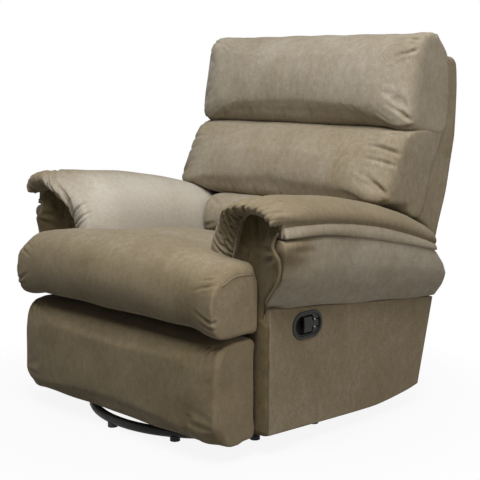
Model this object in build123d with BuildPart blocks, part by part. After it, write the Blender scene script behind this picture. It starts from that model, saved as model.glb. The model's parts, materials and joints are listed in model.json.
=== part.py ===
# Upholstered swivel glider recliner.
# Millimetres, +Z up, the sitter faces -Y, +X is the sitter's left, origin on the floor at the swivel axis.
import os
from math import atan2, cos, degrees, hypot, radians, sin, sqrt

from build123d import *

# Fits
run_clearance = 0.05
open_pivot_clearance = 0.5
soft_gap = 0.6
plate_gap = 1.0

# Ring base
ring_outer_radius = 340.0
ring_tube = 25.0
glide_height = 8.0
glide_radius = 13.0
glide_count = 10
glide_first_angle = 12.0
glide_wrap = 5.0
spoke_width = 50.0
spoke_thickness = 6.0
spoke_drop = 3.0
hub_radius = 95.0

# Swivel
swivel_plate_size = 180.0
swivel_plate_thickness = 4.0
swivel_plate_corner = 14.0
plate_screw_spacing = 140.0
plate_screw_head_radius = 6.8
plate_screw_head = 4.0
screw_head_side_count = 6
bearing_outer_radius = 78.0
bearing_inner_radius = 58.0
bearing_height = 8.0
bearing_play = 0.2
king_pin_radius = 8.0
king_pin_head_radius = 14.0
king_pin_head_height = 7.0

# Glide stand and hanging links
stand_half_width = 154.0
stand_plate = 4.0
stand_bar_width = 36.0
stand_bar_height = 22.0
stand_bar_offset = 74.0
stand_foot_height = 64.0
link_pivot_y = 110.0
link_pivot_z = 245.0
link_length = 145.0
link_width = 28.0
link_thickness = 4.0
link_pin_radius = 6.0
link_pin_head_radius = 10.0
link_pin_head = 3.0
stand_post_width = 36.0

# Glide rails and seat frame
rail_plate = 4.0
rail_half_length = 168.0
rail_depth_below_pivot = 16.0
seat_rail_thickness = 35.0
seat_rail_height = 40.0
seat_rail_top = 315.0
seat_rail_front = -171.0
seat_rail_rear = 195.0
cross_rail_thickness = 34.0
stretcher_width = 34.0
front_stretcher_y = -23.0
rear_stretcher_y = 147.0
webbing_width = 48.0
webbing_thickness = 2.0
webbing_count = 5
webbing_pitch = 70.0

# Arms
side_panel_outer = 412.0
side_panel_thickness = 18.0
arm_frame_thickness = 18.0
arm_frame_rail = 62.0
arm_frame_inset = 12.0
arm_inner_face = 240.0
arm_inner_thickness = 12.0
arm_inner_top = 470.0
arm_front_y = -200.0
arm_facing_thickness = 12.0
arm_facing_strip = 36.0
panel_bottom = 50.0
panel_rear_bottom = 408.0
panel_rear_top = 469.0
# Notch in the rear panel that the back frame leans into
rear_notch_bottom = 235.0
rear_notch_half_width = 232.0
seam_height = 343.0
seam_slope = 0.1
roll_front_top = 545.0
roll_widest = 464.0
roll_shoulder = 430.0
roll_fall_length = 636.0
roll_slope_drop = 4.0
roll_curve_drop = 100.0
pillow_thickness = 85.0
pillow_rear_thinning = 45.0
pillow_tuck = 22.0
pillow_end_height = 16.0
pillow_flattening = 1.3
pillow_swell = 0.36
pillow_roundness = 0.9
pillow_drop_inset = 4.0
pillow_drop_outset = 16.0
# Places along the arm where the roll and the pillow on it have a section
arm_stations = (-200.0, -120.0, -20.0, 86.0, 180.0, 250.0, 310.0, 360.0, 400.0, 430.0, 452.0)
roll_end_y = 500.0
roll_end_pinch = 30.0
pillow_inner_front = 228.0
pillow_inner_rear = 250.0
pillow_outer_edge = 456.0
pillow_front_y = -300.0
# Rounding of the pillow's ends: distance from the end, and how far its edges are drawn in there
pillow_rounding = ((0.0, 30.0), (8.0, 14.0), (22.0, 4.0))
pillow_drop_bottom = 505.0
pillow_drop_top = 585.0

# Seat cushion
seat_front_y = -375.0
seat_rear_y = 168.0
seat_half_width = 232.0
seat_crown = 512.0
seat_rear_height = 432.0
ear_half_width = 382.0
ear_rear_y = -216.0
ear_end_top = 446.0
# Places along a seat ear: share of its length, and share of its fall from the crown to its end
ear_stations = ((0.0, 0.0), (0.35, 0.12), (0.65, 0.34), (0.88, 0.68), (1.0, 1.0))
seat_roll = 62.0
seat_side_sag = 14.0
seat_nose = 0.31
seat_front_drop = 12.0
seat_middle_drop = 10.0
ear_rear_drop = 8.0
ear_swell = 1.0
# Places across the seat, as shares of its half width
seat_shares = (0.0, 0.35, 0.7, 1.0)

# Footrest
foot_half_width = 377.0
foot_front_y = -353.0
foot_rear_y = -221.0
foot_bottom = 48.0
foot_top = 296.0
foot_corner = 34.0
foot_board_thickness = 16.0
foot_board_rear = -228.0
foot_board_margin = 22.0
foot_pivot_y = -212.0
foot_pivot_z = 268.0
bar_length = 170.0
bar_width = 16.0
bar_thickness = 4.0
bar_folded = 84.0
bar_lift = 7.0
bar_open = 22.0
bar_pin_radius = 4.0
bar_pin_head_radius = 7.0
bar_pin_head = 2.0
foot_mount_rear = -100.0
mount_plate = 5.0
foot_bracket_length = 90.0
foot_bracket_flange = 30.0
foot_swell = 5.0
foot_end_draw = 12.0
foot_end_sharpness = 8
# Places across the footrest pad, as shares of its half width
foot_shares = (0.0, 0.6, 0.8, 0.9, 0.96, 1.0)

# Back
recline_y = 250.0
recline_z = 240.0
recline_pin_radius = 6.0
back_plane_y = 347.0
back_plane_z = 250.0
back_rake = 13.2
back_frame_thickness = 25.0
back_post_width = 40.0
back_post_outer = 194.0
back_bracket_plate = 4.0
hinge_ear_radius = 17.0
back_frame_length = 712.0
back_mid_rail = 330.0
back_half_width = 400.0
shell_wall = 14.0
# How far the hollow's lower edge and lower rear corner keep from the outside of the outer back
shell_lip_rise = 17.0
shell_corner_in = 10.0
shell_corner_rise = 24.0
shell_front_bottom = 524.0
shell_front_top = 968.0
# Rear edge of the outer back in side view, from its lower corner to its top
shell_rear = ((491.0, 470.0), (536.0, 616.0), (565.0, 746.0), (569.0, 924.0), (552.0, 972.0))
tail_half_width = 226.0
tail_bottom = 262.0
tail_rake = 6.0
post_opening = 210.0
lower_half_width = 224.0
# Places across a back cushion, as shares of its half width
back_shares = (0.0, 0.3, 0.5, 0.58, 0.66, 0.78, 0.88, 0.94, 0.98, 1.0)
# Where the lumbar cushion rises over the arms, as shares of its half width
saddle_start = 0.5
saddle_width = 0.16
# Share of a cushion end's draw-in that also lowers its height
height_draw = 0.3
back_end_sharpness = 7
head_end_keep = 0.78
lumbar_end_keep = 0.8
lower_end_keep = 0.85

# Release handle
handle_y = -65.0
handle_z = 305.0
cup_length = 110.0
cup_height = 70.0
cup_flange = 8.0
cup_proud = 3.0
cup_wall = 2.5
cup_depth = 17.0
cup_floor = 2.0
paddle_front = -14.0
paddle_rear = 44.0
paddle_thickness = 5.0
paddle_pin_offset = 30.0
paddle_barrel_radius = 4.5
paddle_gap = 1.0
paddle_pin_radius = 2.5
cable_radius = 3.0
cable_hole_clearance = 1.5
# Points of the release cable's route between the cup and the footrest mount, and its bends
cable_middle = ((298.0, -84.0, 280.0), (250.0, -108.0, 250.0))
cable_straight_end = 345.0
cable_end_y = -118.0
cable_end_z = 240.0
cable_bends = (45, 60, 60)

# Worked-out levels
ring_radius = ring_outer_radius - ring_tube / 2
ring_z = glide_height + ring_tube / 2
spoke_top = ring_z + ring_tube / 2 - spoke_drop
lower_plate_top = spoke_top + swivel_plate_thickness
bearing_top = lower_plate_top + bearing_height
upper_plate_bottom = bearing_top + bearing_play
upper_plate_top = upper_plate_bottom + swivel_plate_thickness
stand_inner = stand_half_width - stand_plate
link_inner = stand_half_width + plate_gap
link_outer = link_inner + link_thickness
rail_inner = link_outer + plate_gap
rail_outer = rail_inner + rail_plate
seat_rail_outer = rail_outer + seat_rail_thickness
carriage_pivot_z = link_pivot_z - link_length
side_panel_inner = side_panel_outer - side_panel_thickness
arm_frame_inner = side_panel_inner - arm_frame_thickness
seat_rail_bottom = seat_rail_top - seat_rail_height
seat_bottom = seat_rail_top + webbing_thickness + soft_gap
back_frame_half_width = back_half_width - shell_wall
roll_inner = arm_inner_face + arm_inner_thickness + soft_gap

os.makedirs("parts", exist_ok=True)


def save(builder, label):
    builder.part.label = label
    export_step(builder.part, f"parts/{label}.step")


def side_plane(side, inner, outer):
    """YZ plane at the lower-x face of a plate that lies between |x| = inner and outer."""
    return Plane.YZ.offset(min(side * inner, side * outer))


def outline(points, mode=Mode.ADD):
    Polygon(*points, align=None, mode=mode)


def both_ways(shares):
    """Shares from the middle outwards, repeated on the other side."""
    return [-share for share in reversed(shares[1:])] + list(shares)


def seam_z(y):
    """Height of the seam between the side panel and the arm roll."""
    return seam_height - seam_slope * y


# Base that stands still

with BuildPart() as base_ring:
    with BuildSketch(Plane.XZ):
        with Locations((ring_radius, ring_z)):
            Circle(ring_tube / 2)
    revolve(axis=Axis.Z)
save(base_ring, "base_ring")

with BuildPart() as base_cross:
    with BuildSketch(Plane.XY.offset(spoke_top - spoke_thickness)):
        for angle in (45, 135):
            Rectangle(2 * (ring_radius - ring_tube / 2 + spoke_drop), spoke_width, rotation=angle)
        Circle(hub_radius)
        Circle(king_pin_radius + run_clearance, mode=Mode.SUBTRACT)
    extrude(amount=spoke_thickness)
    with BuildSketch(Plane.XZ):
        with Locations((ring_radius, ring_z)):
            Circle(ring_tube / 2 + run_clearance)
    revolve(axis=Axis.Z, mode=Mode.SUBTRACT)
save(base_cross, "base_cross")

with BuildPart() as base_glides:
    with BuildSketch(Plane.XY):
        with PolarLocations(ring_radius, glide_count, start_angle=glide_first_angle):
            Circle(glide_radius)
    extrude(amount=glide_height + glide_wrap)
    with BuildSketch(Plane.XZ):
        with Locations((ring_radius, ring_z)):
            Circle(ring_tube / 2 + run_clearance)
    revolve(axis=Axis.Z, mode=Mode.SUBTRACT)
save(base_glides, "base_glides")

with BuildPart() as swivel_lower_plate:
    with BuildSketch(Plane.XY.offset(spoke_top)):
        RectangleRounded(swivel_plate_size, swivel_plate_size, swivel_plate_corner)
        Circle(king_pin_radius + run_clearance, mode=Mode.SUBTRACT)
    extrude(amount=swivel_plate_thickness)
save(swivel_lower_plate, "swivel_lower_plate")

with BuildPart() as base_plate_screws:
    with BuildSketch(Plane.XY.offset(lower_plate_top)):
        with GridLocations(plate_screw_spacing, plate_screw_spacing, 2, 2):
            RegularPolygon(plate_screw_head_radius, screw_head_side_count)
    extrude(amount=plate_screw_head)
save(base_plate_screws, "base_plate_screws")

with BuildPart() as swivel_bearing:
    with BuildSketch(Plane.XY.offset(lower_plate_top)):
        Circle(bearing_outer_radius)
        Circle(bearing_inner_radius, mode=Mode.SUBTRACT)
    extrude(amount=bearing_height)
    with BuildSketch(Plane.XZ):
        with Locations((bearing_outer_radius, lower_plate_top + bearing_height / 2)):
            Circle(bearing_height / 4)
    revolve(axis=Axis.Z, mode=Mode.SUBTRACT)
save(swivel_bearing, "swivel_bearing")

with BuildPart() as king_pin:
    with BuildSketch(Plane.XY.offset(spoke_top - spoke_thickness - king_pin_head_height)):
        RegularPolygon(king_pin_head_radius, screw_head_side_count)
    extrude(amount=king_pin_head_height)
    with BuildSketch(Plane.XY.offset(spoke_top - spoke_thickness)):
        Circle(king_pin_radius)
    extrude(amount=upper_plate_top + bearing_play - spoke_top + spoke_thickness)
    with BuildSketch(Plane.XY.offset(upper_plate_top + bearing_play)):
        Circle(king_pin_head_radius)
    extrude(amount=king_pin_head_height)
save(king_pin, "king_pin")

# Swivelling stand

with BuildPart() as swivel_upper_plate:
    with BuildSketch(Plane.XY.offset(upper_plate_bottom)):
        RectangleRounded(swivel_plate_size, swivel_plate_size, swivel_plate_corner)
        Circle(king_pin_radius + run_clearance, mode=Mode.SUBTRACT)
    extrude(amount=swivel_plate_thickness)
save(swivel_upper_plate, "swivel_upper_plate")

with BuildPart() as stand_cross_bars:
    with BuildSketch(Plane.XY.offset(upper_plate_top)):
        with GridLocations(0, 2 * stand_bar_offset, 1, 2):
            Rectangle(2 * stand_inner, stand_bar_width)
    extrude(amount=stand_bar_height)
save(stand_cross_bars, "stand_cross_bars")


def stand_outline():
    post_outer = link_pivot_y + stand_post_width / 2
    post_inner = link_pivot_y - stand_post_width / 2
    post_top = link_pivot_z + stand_post_width / 2
    foot_top_z = upper_plate_top + stand_foot_height
    return [
        (-post_outer, upper_plate_top),
        (post_outer, upper_plate_top),
        (post_outer, post_top),
        (post_inner, post_top),
        (post_inner, foot_top_z),
        (-post_inner, foot_top_z),
        (-post_inner, post_top),
        (-post_outer, post_top),
    ]


for side, name in ((1, "left"), (-1, "right")):
    with BuildPart() as stand:
        with BuildSketch(side_plane(side, stand_inner, stand_half_width)):
            outline(stand_outline())
            with Locations((-link_pivot_y, link_pivot_z), (link_pivot_y, link_pivot_z)):
                Circle(link_pin_radius + run_clearance, mode=Mode.SUBTRACT)
        extrude(amount=stand_plate)
        fillet(stand.edges().filter_by(Axis.X).group_by(Axis.Z)[-1], stand_post_width / 3)
    save(stand, f"glide_stand_{name}")


def pins(points, radius, inner, outer, head_inner, head_outer, head_radius):
    """Headed pins along X on both sides of the chair, at the given (y, z) points."""
    with BuildPart() as group:
        for side in (1, -1):
            with BuildSketch(side_plane(side, inner, outer)):
                with Locations(*points):
                    Circle(radius)
            extrude(amount=outer - inner)
            with BuildSketch(side_plane(side, head_inner, head_outer)):
                with Locations(*points):
                    Circle(head_radius)
            extrude(amount=head_outer - head_inner)
    return group


stand_pivots = [(-link_pivot_y, link_pivot_z), (link_pivot_y, link_pivot_z)]
carriage_pivots = [(-link_pivot_y, carriage_pivot_z), (link_pivot_y, carriage_pivot_z)]
stand_pins = pins(
    stand_pivots, link_pin_radius, stand_inner, link_outer,
    stand_inner - link_pin_head, stand_inner, link_pin_head_radius,
)
save(stand_pins, "stand_pivot_pins")


def hanging_links(y, lower_clearance):
    with BuildPart() as links:
        for side in (1, -1):
            with BuildSketch(side_plane(side, link_inner, link_outer)):
                with Locations((y, (link_pivot_z + carriage_pivot_z) / 2)):
                    SlotCenterToCenter(link_length, link_width, rotation=90)
                with Locations((y, link_pivot_z)):
                    Circle(link_pin_radius + run_clearance, mode=Mode.SUBTRACT)
                with Locations((y, carriage_pivot_z)):
                    Circle(link_pin_radius + lower_clearance, mode=Mode.SUBTRACT)
            extrude(amount=link_thickness)
    return links


save(hanging_links(-link_pivot_y, run_clearance), "glide_links_front")
save(hanging_links(link_pivot_y, open_pivot_clearance), "glide_links_rear")

# Carriage and seat frame

for side, name in ((1, "left"), (-1, "right")):
    with BuildPart() as glide_rail:
        with BuildSketch(side_plane(side, rail_inner, rail_outer)):
            low = carriage_pivot_z - rail_depth_below_pivot
            outline([
                (-rail_half_length, seat_rail_top - plate_gap),
                (-rail_half_length, seat_rail_bottom),
                (-link_pivot_y - link_width / 2, low),
                (link_pivot_y + link_width / 2, low),
                (rail_half_length, seat_rail_bottom),
                (rail_half_length, seat_rail_top - plate_gap),
            ])
            with Locations(*carriage_pivots):
                Circle(link_pin_radius + run_clearance, mode=Mode.SUBTRACT)
        extrude(amount=rail_plate)
    save(glide_rail, f"glide_rail_{name}")

rail_pins = pins(
    carriage_pivots, link_pin_radius, link_inner, rail_outer,
    rail_outer, rail_outer + link_pin_head, link_pin_head_radius,
)
save(rail_pins, "rail_pivot_pins")

with BuildPart() as seat_side_rails:
    for side in (1, -1):
        with BuildSketch(side_plane(side, rail_outer, seat_rail_outer)):
            outline([
                (seat_rail_front, seat_rail_bottom),
                (seat_rail_rear, seat_rail_bottom),
                (seat_rail_rear, seat_rail_top),
                (seat_rail_front, seat_rail_top),
            ])
        extrude(amount=seat_rail_thickness)
save(seat_side_rails, "seat_side_rails")


def cross_rail(y_low, y_high):
    with BuildPart() as rail:
        with BuildSketch(Plane.YZ.offset(-seat_rail_outer)):
            outline([
                (y_low, seat_rail_bottom),
                (y_high, seat_rail_bottom),
                (y_high, seat_rail_top),
                (y_low, seat_rail_top),
            ])
        extrude(amount=2 * seat_rail_outer)
    return rail


save(cross_rail(seat_rail_front - cross_rail_thickness, seat_rail_front), "seat_front_rail")
save(cross_rail(seat_rail_rear, seat_rail_rear + cross_rail_thickness), "seat_rear_rail")

with BuildPart() as frame_stretchers:
    for side in (1, -1):
        with BuildSketch(side_plane(side, seat_rail_outer, arm_frame_inner)):
            with Locations(
                (front_stretcher_y, seat_rail_top - seat_rail_height / 2),
                (rear_stretcher_y, seat_rail_top - seat_rail_height / 2),
            ):
                Rectangle(stretcher_width, seat_rail_height)
        extrude(amount=arm_frame_inner - seat_rail_outer)
save(frame_stretchers, "frame_stretchers")

with BuildPart() as seat_webbing:
    web_front = seat_rail_front - cross_rail_thickness / 2
    web_rear = seat_rail_rear + cross_rail_thickness / 2
    with BuildSketch(Plane.XY.offset(seat_rail_top)):
        with Locations((0, (web_front + web_rear) / 2)):
            with GridLocations(webbing_pitch, 0, webbing_count, 1):
                Rectangle(webbing_width, web_rear - web_front)
    extrude(amount=webbing_thickness)
save(seat_webbing, "seat_webbing")


def rear_edge(z):
    """Where the raked rear edge of the side panels stands at height z."""
    share = (z - panel_bottom) / (seam_z(panel_rear_top) - panel_bottom)
    return panel_rear_bottom + (panel_rear_top - panel_rear_bottom) * share


def rear_board(low, high):
    outline([
        (rear_edge(low) - shell_wall, low),
        (rear_edge(low), low),
        (rear_edge(high), high),
        (rear_edge(high) - shell_wall, high),
    ])


with BuildPart() as rear_panel:
    with BuildSketch(Plane.YZ.offset(-side_panel_inner)):
        rear_board(panel_bottom, rear_notch_bottom)
    extrude(amount=2 * side_panel_inner)
    for side in (1, -1):
        with BuildSketch(side_plane(side, rear_notch_half_width, side_panel_inner)):
            rear_board(rear_notch_bottom, seam_z(panel_rear_top))
        extrude(amount=side_panel_inner - rear_notch_half_width)
save(rear_panel, "rear_panel")

# Arms


def roll_share(y):
    """Place along the arm roll, 0 at its front and 1 where the roll has dropped to the back."""
    return (y - arm_front_y) / roll_fall_length


def roll_top(y):
    share = roll_share(y)
    return roll_front_top - roll_slope_drop * share - roll_curve_drop * share**2


def pillow_height(y):
    return pillow_thickness - pillow_rear_thinning * roll_share(y) ** 3


def pillow_places():
    """Sections of the pillow along the arm, with its two ends drawn in."""
    front = [(pillow_front_y + away, draw_in) for away, draw_in in pillow_rounding]
    rear = [(arm_stations[-1] - away, draw_in) for away, draw_in in reversed(pillow_rounding)]
    return front + [(y, 0.0) for y in arm_stations[:-2]] + rear


def drop_places():
    """Sections of the part of the pillow that hangs in front of the arm."""
    front = [(pillow_front_y + away, draw_in) for away, draw_in in pillow_rounding]
    return front + [(arm_front_y - arm_facing_thickness - 2 * soft_gap, 0.0)]


def inner_outline():
    """Outer edge of the wooden arm frame, just inside the side panel's edge."""
    inset = arm_frame_inset
    return [
        (arm_front_y, panel_bottom + inset),
        (panel_rear_bottom - shell_wall - inset, panel_bottom + inset),
        (panel_rear_top - shell_wall - inset, seam_z(panel_rear_top) - inset),
        (arm_front_y, seam_z(arm_front_y) - inset),
    ]


def window_outline():
    low = panel_bottom + arm_frame_rail
    front = arm_front_y + arm_frame_rail
    rear = panel_rear_bottom - arm_frame_rail - shell_wall
    return [
        (front, low),
        (rear, low),
        (rear, seam_z(rear) - arm_frame_rail - arm_frame_inset),
        (front, seam_z(front) - arm_frame_rail - arm_frame_inset),
    ]


for side, name in ((1, "left"), (-1, "right")):
    with BuildPart() as arm_frame:
        with BuildSketch(side_plane(side, arm_frame_inner, side_panel_inner)):
            outline(inner_outline())
            outline(window_outline(), mode=Mode.SUBTRACT)
            if side > 0:
                with Locations((handle_y, handle_z)):
                    Circle(cable_radius + cable_hole_clearance, mode=Mode.SUBTRACT)
        extrude(amount=arm_frame_thickness)
    save(arm_frame, f"arm_frame_{name}")

    with BuildPart() as side_panel:
        with BuildSketch(side_plane(side, side_panel_inner, side_panel_outer)):
            outline([
                (arm_front_y, panel_bottom),
                (panel_rear_bottom, panel_bottom),
                (panel_rear_top, seam_z(panel_rear_top)),
                (arm_front_y, seam_z(arm_front_y)),
            ])
            if side > 0:
                with Locations((handle_y, handle_z)):
                    SlotOverall(
                        cup_length - 2 * cup_flange + 2 * cup_wall + 2 * run_clearance,
                        cup_height - 2 * cup_flange + 2 * cup_wall + 2 * run_clearance,
                        mode=Mode.SUBTRACT,
                    )
        extrude(amount=side_panel_thickness)
    save(side_panel, f"side_panel_{name}")

    with BuildPart() as arm_facing:
        with BuildSketch(Plane.XZ.offset(-arm_front_y)):
            seam = seam_z(arm_front_y)
            middle = (seam + roll_front_top) / 2
            with BuildLine():
                Polyline(
                    (side * roll_shoulder, roll_front_top),
                    (side * roll_inner, roll_front_top),
                    (side * roll_inner, seam),
                    (side * (side_panel_outer - arm_facing_strip), seam),
                    (side * (side_panel_outer - arm_facing_strip), panel_bottom),
                    (side * side_panel_outer, panel_bottom),
                    (side * side_panel_outer, seam),
                )
                ThreePointArc(
                    (side * side_panel_outer, seam),
                    (side * roll_widest, middle),
                    (side * roll_shoulder, roll_front_top),
                )
            make_face()
        extrude(amount=arm_facing_thickness)
    save(arm_facing, f"arm_facing_{name}")

    with BuildPart() as arm_roll:
        for y in (*arm_stations, roll_end_y):
            pinch = roll_end_pinch if y == roll_end_y else 0.0
            low = seam_z(y) + soft_gap
            high = roll_top(y) - pinch
            with BuildSketch(Plane.XZ.offset(-y)):
                with BuildLine():
                    Polyline(
                        (side * (roll_shoulder - pinch), high),
                        (side * roll_inner, high),
                        (side * roll_inner, low),
                        (side * (side_panel_outer - pinch), low),
                    )
                    ThreePointArc(
                        (side * (side_panel_outer - pinch), low),
                        (side * (roll_widest - pinch), (low + high) / 2),
                        (side * (roll_shoulder - pinch), high),
                    )
                make_face()
        loft(ruled=True)
    save(arm_roll, f"arm_roll_{name}")

    with BuildPart() as arm_pillow:
        for y, draw_in in pillow_places():
            share = max(0.0, roll_share(y))
            inner = pillow_inner_front + (pillow_inner_rear - pillow_inner_front) * share + draw_in
            outer = pillow_outer_edge - draw_in
            base = roll_top(max(y, arm_front_y)) + soft_gap
            height = max(pillow_height(y) - pillow_flattening * draw_in, pillow_end_height)
            shoulder = base + 2 * pillow_swell * height
            swell = base + pillow_swell * height
            tuck = min(pillow_tuck, pillow_roundness * (swell - base))
            with BuildSketch(Plane.XZ.offset(-y)):
                with BuildLine():
                    Line((side * (inner + tuck), base), (side * (outer - tuck), base))
                    ThreePointArc(
                        (side * (outer - tuck), base),
                        (side * outer, swell),
                        (side * (outer - tuck), shoulder),
                    )
                    ThreePointArc(
                        (side * (outer - tuck), shoulder),
                        (side * (inner + outer) / 2, base + height),
                        (side * (inner + tuck), shoulder),
                    )
                    ThreePointArc(
                        (side * (inner + tuck), shoulder),
                        (side * inner, swell),
                        (side * (inner + tuck), base),
                    )
                make_face()
        loft(ruled=True)
        for y, draw_in in drop_places():
            inner = pillow_inner_front + pillow_drop_inset + draw_in
            outer = pillow_outer_edge - pillow_drop_outset - draw_in
            with BuildSketch(Plane.XZ.offset(-y)):
                with Locations((side * (inner + outer) / 2, (pillow_drop_top + pillow_drop_bottom) / 2)):
                    RectangleRounded(
                        outer - inner, pillow_drop_top - pillow_drop_bottom - draw_in, pillow_tuck
                    )
        loft(ruled=True)
    save(arm_pillow, f"arm_pillow_{name}")

with BuildPart() as arm_inner_panels:
    for side in (1, -1):
        with BuildSketch(side_plane(side, arm_inner_face, arm_inner_face + arm_inner_thickness)):
            outline([
                (arm_front_y, seat_rail_top),
                (seat_rail_rear, seat_rail_top),
                (seat_rail_rear, arm_inner_top),
                (arm_front_y, arm_inner_top),
            ])
        extrude(amount=arm_inner_thickness)
save(arm_inner_panels, "arm_inner_panels")

# Seat cushion, a T in plan with a rolled front


def seat_section(rear_y, rear_top, crown_top, front_top):
    """Front roll as arcs, crowned top, flat bottom; rear_y is where the section stops."""
    roll_y = seat_front_y + seat_roll
    middle_y = (roll_y + rear_y) / 2
    nose_z = (seat_bottom + front_top) / 2
    with BuildLine() as profile:
        Line((rear_y, rear_top), (rear_y, seat_bottom))
        Line((rear_y, seat_bottom), (roll_y, seat_bottom))
        ThreePointArc(
            (roll_y, seat_bottom),
            (seat_front_y + seat_roll * seat_nose, seat_bottom + (nose_z - seat_bottom) * seat_nose),
            (seat_front_y, nose_z),
        )
        ThreePointArc(
            (seat_front_y, nose_z),
            (seat_front_y + seat_roll * seat_nose, front_top - (front_top - nose_z) * seat_nose),
            (roll_y, front_top),
        )
        ThreePointArc((roll_y, front_top), (middle_y, crown_top), (rear_y, rear_top))
    make_face(profile.edges())


with BuildPart() as seat_cushion:
    for share in both_ways(seat_shares):
        x = share * seat_half_width
        sag = seat_side_sag * share**2
        with BuildSketch(Plane.YZ.offset(x)):
            seat_section(
                seat_rear_y, seat_rear_height - sag,
                seat_crown - seat_middle_drop - sag, seat_crown - seat_front_drop - sag,
            )
    loft(ruled=True)
    for side in (1, -1):
        root_top = seat_crown - seat_front_drop - seat_side_sag
        for reach, fall in ear_stations:
            top = root_top + (ear_end_top - root_top) * fall
            x = seat_half_width + (ear_half_width - seat_half_width) * reach
            with BuildSketch(Plane.YZ.offset(side * x)):
                seat_section(ear_rear_y, top - ear_rear_drop, top + ear_swell, top)
        loft(ruled=True)
save(seat_cushion, "seat_cushion")

# Footrest linkage: equal bars that fold like lazy tongs, drawn at rest

lift = radians(bar_lift)
fold = radians(bar_folded)
along = (-cos(lift), sin(lift))
across = (-sin(lift), -cos(lift))


def step(point, forward, down):
    """Move a (y, z) point along and across the line on which the footrest pivot runs."""
    return (
        point[0] + forward * along[0] + down * across[0],
        point[1] + forward * along[1] + down * across[1],
    )


half_reach = bar_length * cos(fold)
half_drop = bar_length * sin(fold)
foot_pivot = (foot_pivot_y, foot_pivot_z)
root_pivot = step(foot_pivot, -2 * half_reach, 0)
guide_pivot = step(root_pivot, 0, half_drop)
upper_joint = step(root_pivot, half_reach, 0)
lower_joint = step(root_pivot, half_reach, half_drop)
rear_cross = step(root_pivot, half_reach / 2, half_drop / 2)
front_cross = step(rear_cross, half_reach, 0)
guide_top = step(root_pivot, 0, bar_length * sin(radians(bar_open)))
mount_outer = seat_rail_outer + mount_plate
inner_bar = mount_outer + plate_gap
outer_bar = inner_bar + bar_thickness + plate_gap
bracket_inner = outer_bar + bar_thickness + bar_pin_head + plate_gap


def middle(first, second):
    return ((first[0] + second[0]) / 2, (first[1] + second[1]) / 2)


def slot_angle(first, second):
    return degrees(atan2(second[1] - first[1], second[0] - first[0]))


def slot_length(first, second):
    return hypot(second[0] - first[0], second[1] - first[1])


with BuildPart() as footrest_mounts:
    for side in (1, -1):
        with BuildSketch(side_plane(side, seat_rail_outer, mount_outer)):
            outline([
                (root_pivot[0] - bar_width, root_pivot[1] + bar_width),
                (guide_pivot[0] - bar_width, guide_pivot[1] - bar_width),
                (guide_pivot[0] + bar_width, guide_pivot[1] - bar_width),
                (foot_mount_rear, seat_rail_bottom),
                (foot_mount_rear, seat_rail_top - plate_gap),
                (root_pivot[0], seat_rail_top - plate_gap),
            ])
            with Locations(root_pivot):
                Circle(bar_pin_radius + run_clearance, mode=Mode.SUBTRACT)
            with Locations(middle(guide_pivot, guide_top)):
                SlotCenterToCenter(
                    slot_length(guide_pivot, guide_top),
                    2 * (bar_pin_radius + open_pivot_clearance),
                    rotation=slot_angle(guide_pivot, guide_top),
                    mode=Mode.SUBTRACT,
                )
        extrude(amount=mount_plate)
save(footrest_mounts, "footrest_mounts")


def bars(first, second, layer, holes, open_holes=()):
    """A matched left and right bar with its pin holes."""
    with BuildPart() as pair:
        for side in (1, -1):
            with BuildSketch(side_plane(side, layer, layer + bar_thickness)):
                with Locations(middle(first, second)):
                    SlotCenterToCenter(
                        slot_length(first, second), bar_width, rotation=slot_angle(first, second)
                    )
                with Locations(*holes):
                    Circle(bar_pin_radius + run_clearance, mode=Mode.SUBTRACT)
                if open_holes:
                    with Locations(*open_holes):
                        Circle(bar_pin_radius + open_pivot_clearance, mode=Mode.SUBTRACT)
            extrude(amount=bar_thickness)
    return pair


save(bars(root_pivot, lower_joint, inner_bar, (root_pivot, rear_cross, lower_joint)), "footrest_bars_root")
save(bars(guide_pivot, upper_joint, outer_bar, (guide_pivot, rear_cross, upper_joint)), "footrest_bars_guide")
save(bars(lower_joint, foot_pivot, outer_bar, (lower_joint, front_cross, foot_pivot)), "footrest_bars_lift")
save(bars(upper_joint, front_cross, inner_bar, (front_cross,), (upper_joint,)), "footrest_bars_tie")

bar_outer_face = outer_bar + bar_thickness
head_outer = bar_outer_face + bar_pin_head
root_pins = pins(
    (root_pivot,), bar_pin_radius, seat_rail_outer, inner_bar + bar_thickness,
    seat_rail_outer, mount_outer, bar_pin_radius,
)
save(root_pins, "footrest_root_pins")
cross_rivets = pins(
    (rear_cross, lower_joint), bar_pin_radius, inner_bar, bar_outer_face,
    bar_outer_face, head_outer, bar_pin_head_radius,
)
save(cross_rivets, "footrest_rivets_root")
guide_rivets = pins(
    (guide_pivot,), bar_pin_radius, seat_rail_outer - plate_gap, bar_outer_face,
    seat_rail_outer - plate_gap - bar_pin_head, seat_rail_outer - plate_gap, bar_pin_head_radius,
)
save(guide_rivets, "footrest_rivets_guide")
tie_rivets = pins(
    (upper_joint,), bar_pin_radius, inner_bar, bar_outer_face,
    bar_outer_face, head_outer, bar_pin_head_radius,
)
save(tie_rivets, "footrest_rivets_tie")
lift_rivets = pins(
    (foot_pivot,), bar_pin_radius, outer_bar, bracket_inner + bar_thickness,
    bracket_inner + bar_thickness, bracket_inner + bar_thickness + bar_pin_head, bar_pin_head_radius,
)
front_rivets = pins(
    (front_cross,), bar_pin_radius, inner_bar, bar_outer_face,
    bar_outer_face, head_outer, bar_pin_head_radius,
)
with BuildPart() as carried_rivets:
    add(lift_rivets.part)
    add(front_rivets.part)
save(carried_rivets, "footrest_rivets_lift")

board_top = foot_top - foot_board_margin
board_bottom = foot_bottom + foot_board_margin
board_half_width = foot_half_width - foot_board_margin
board_front = foot_board_rear - foot_board_thickness

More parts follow.
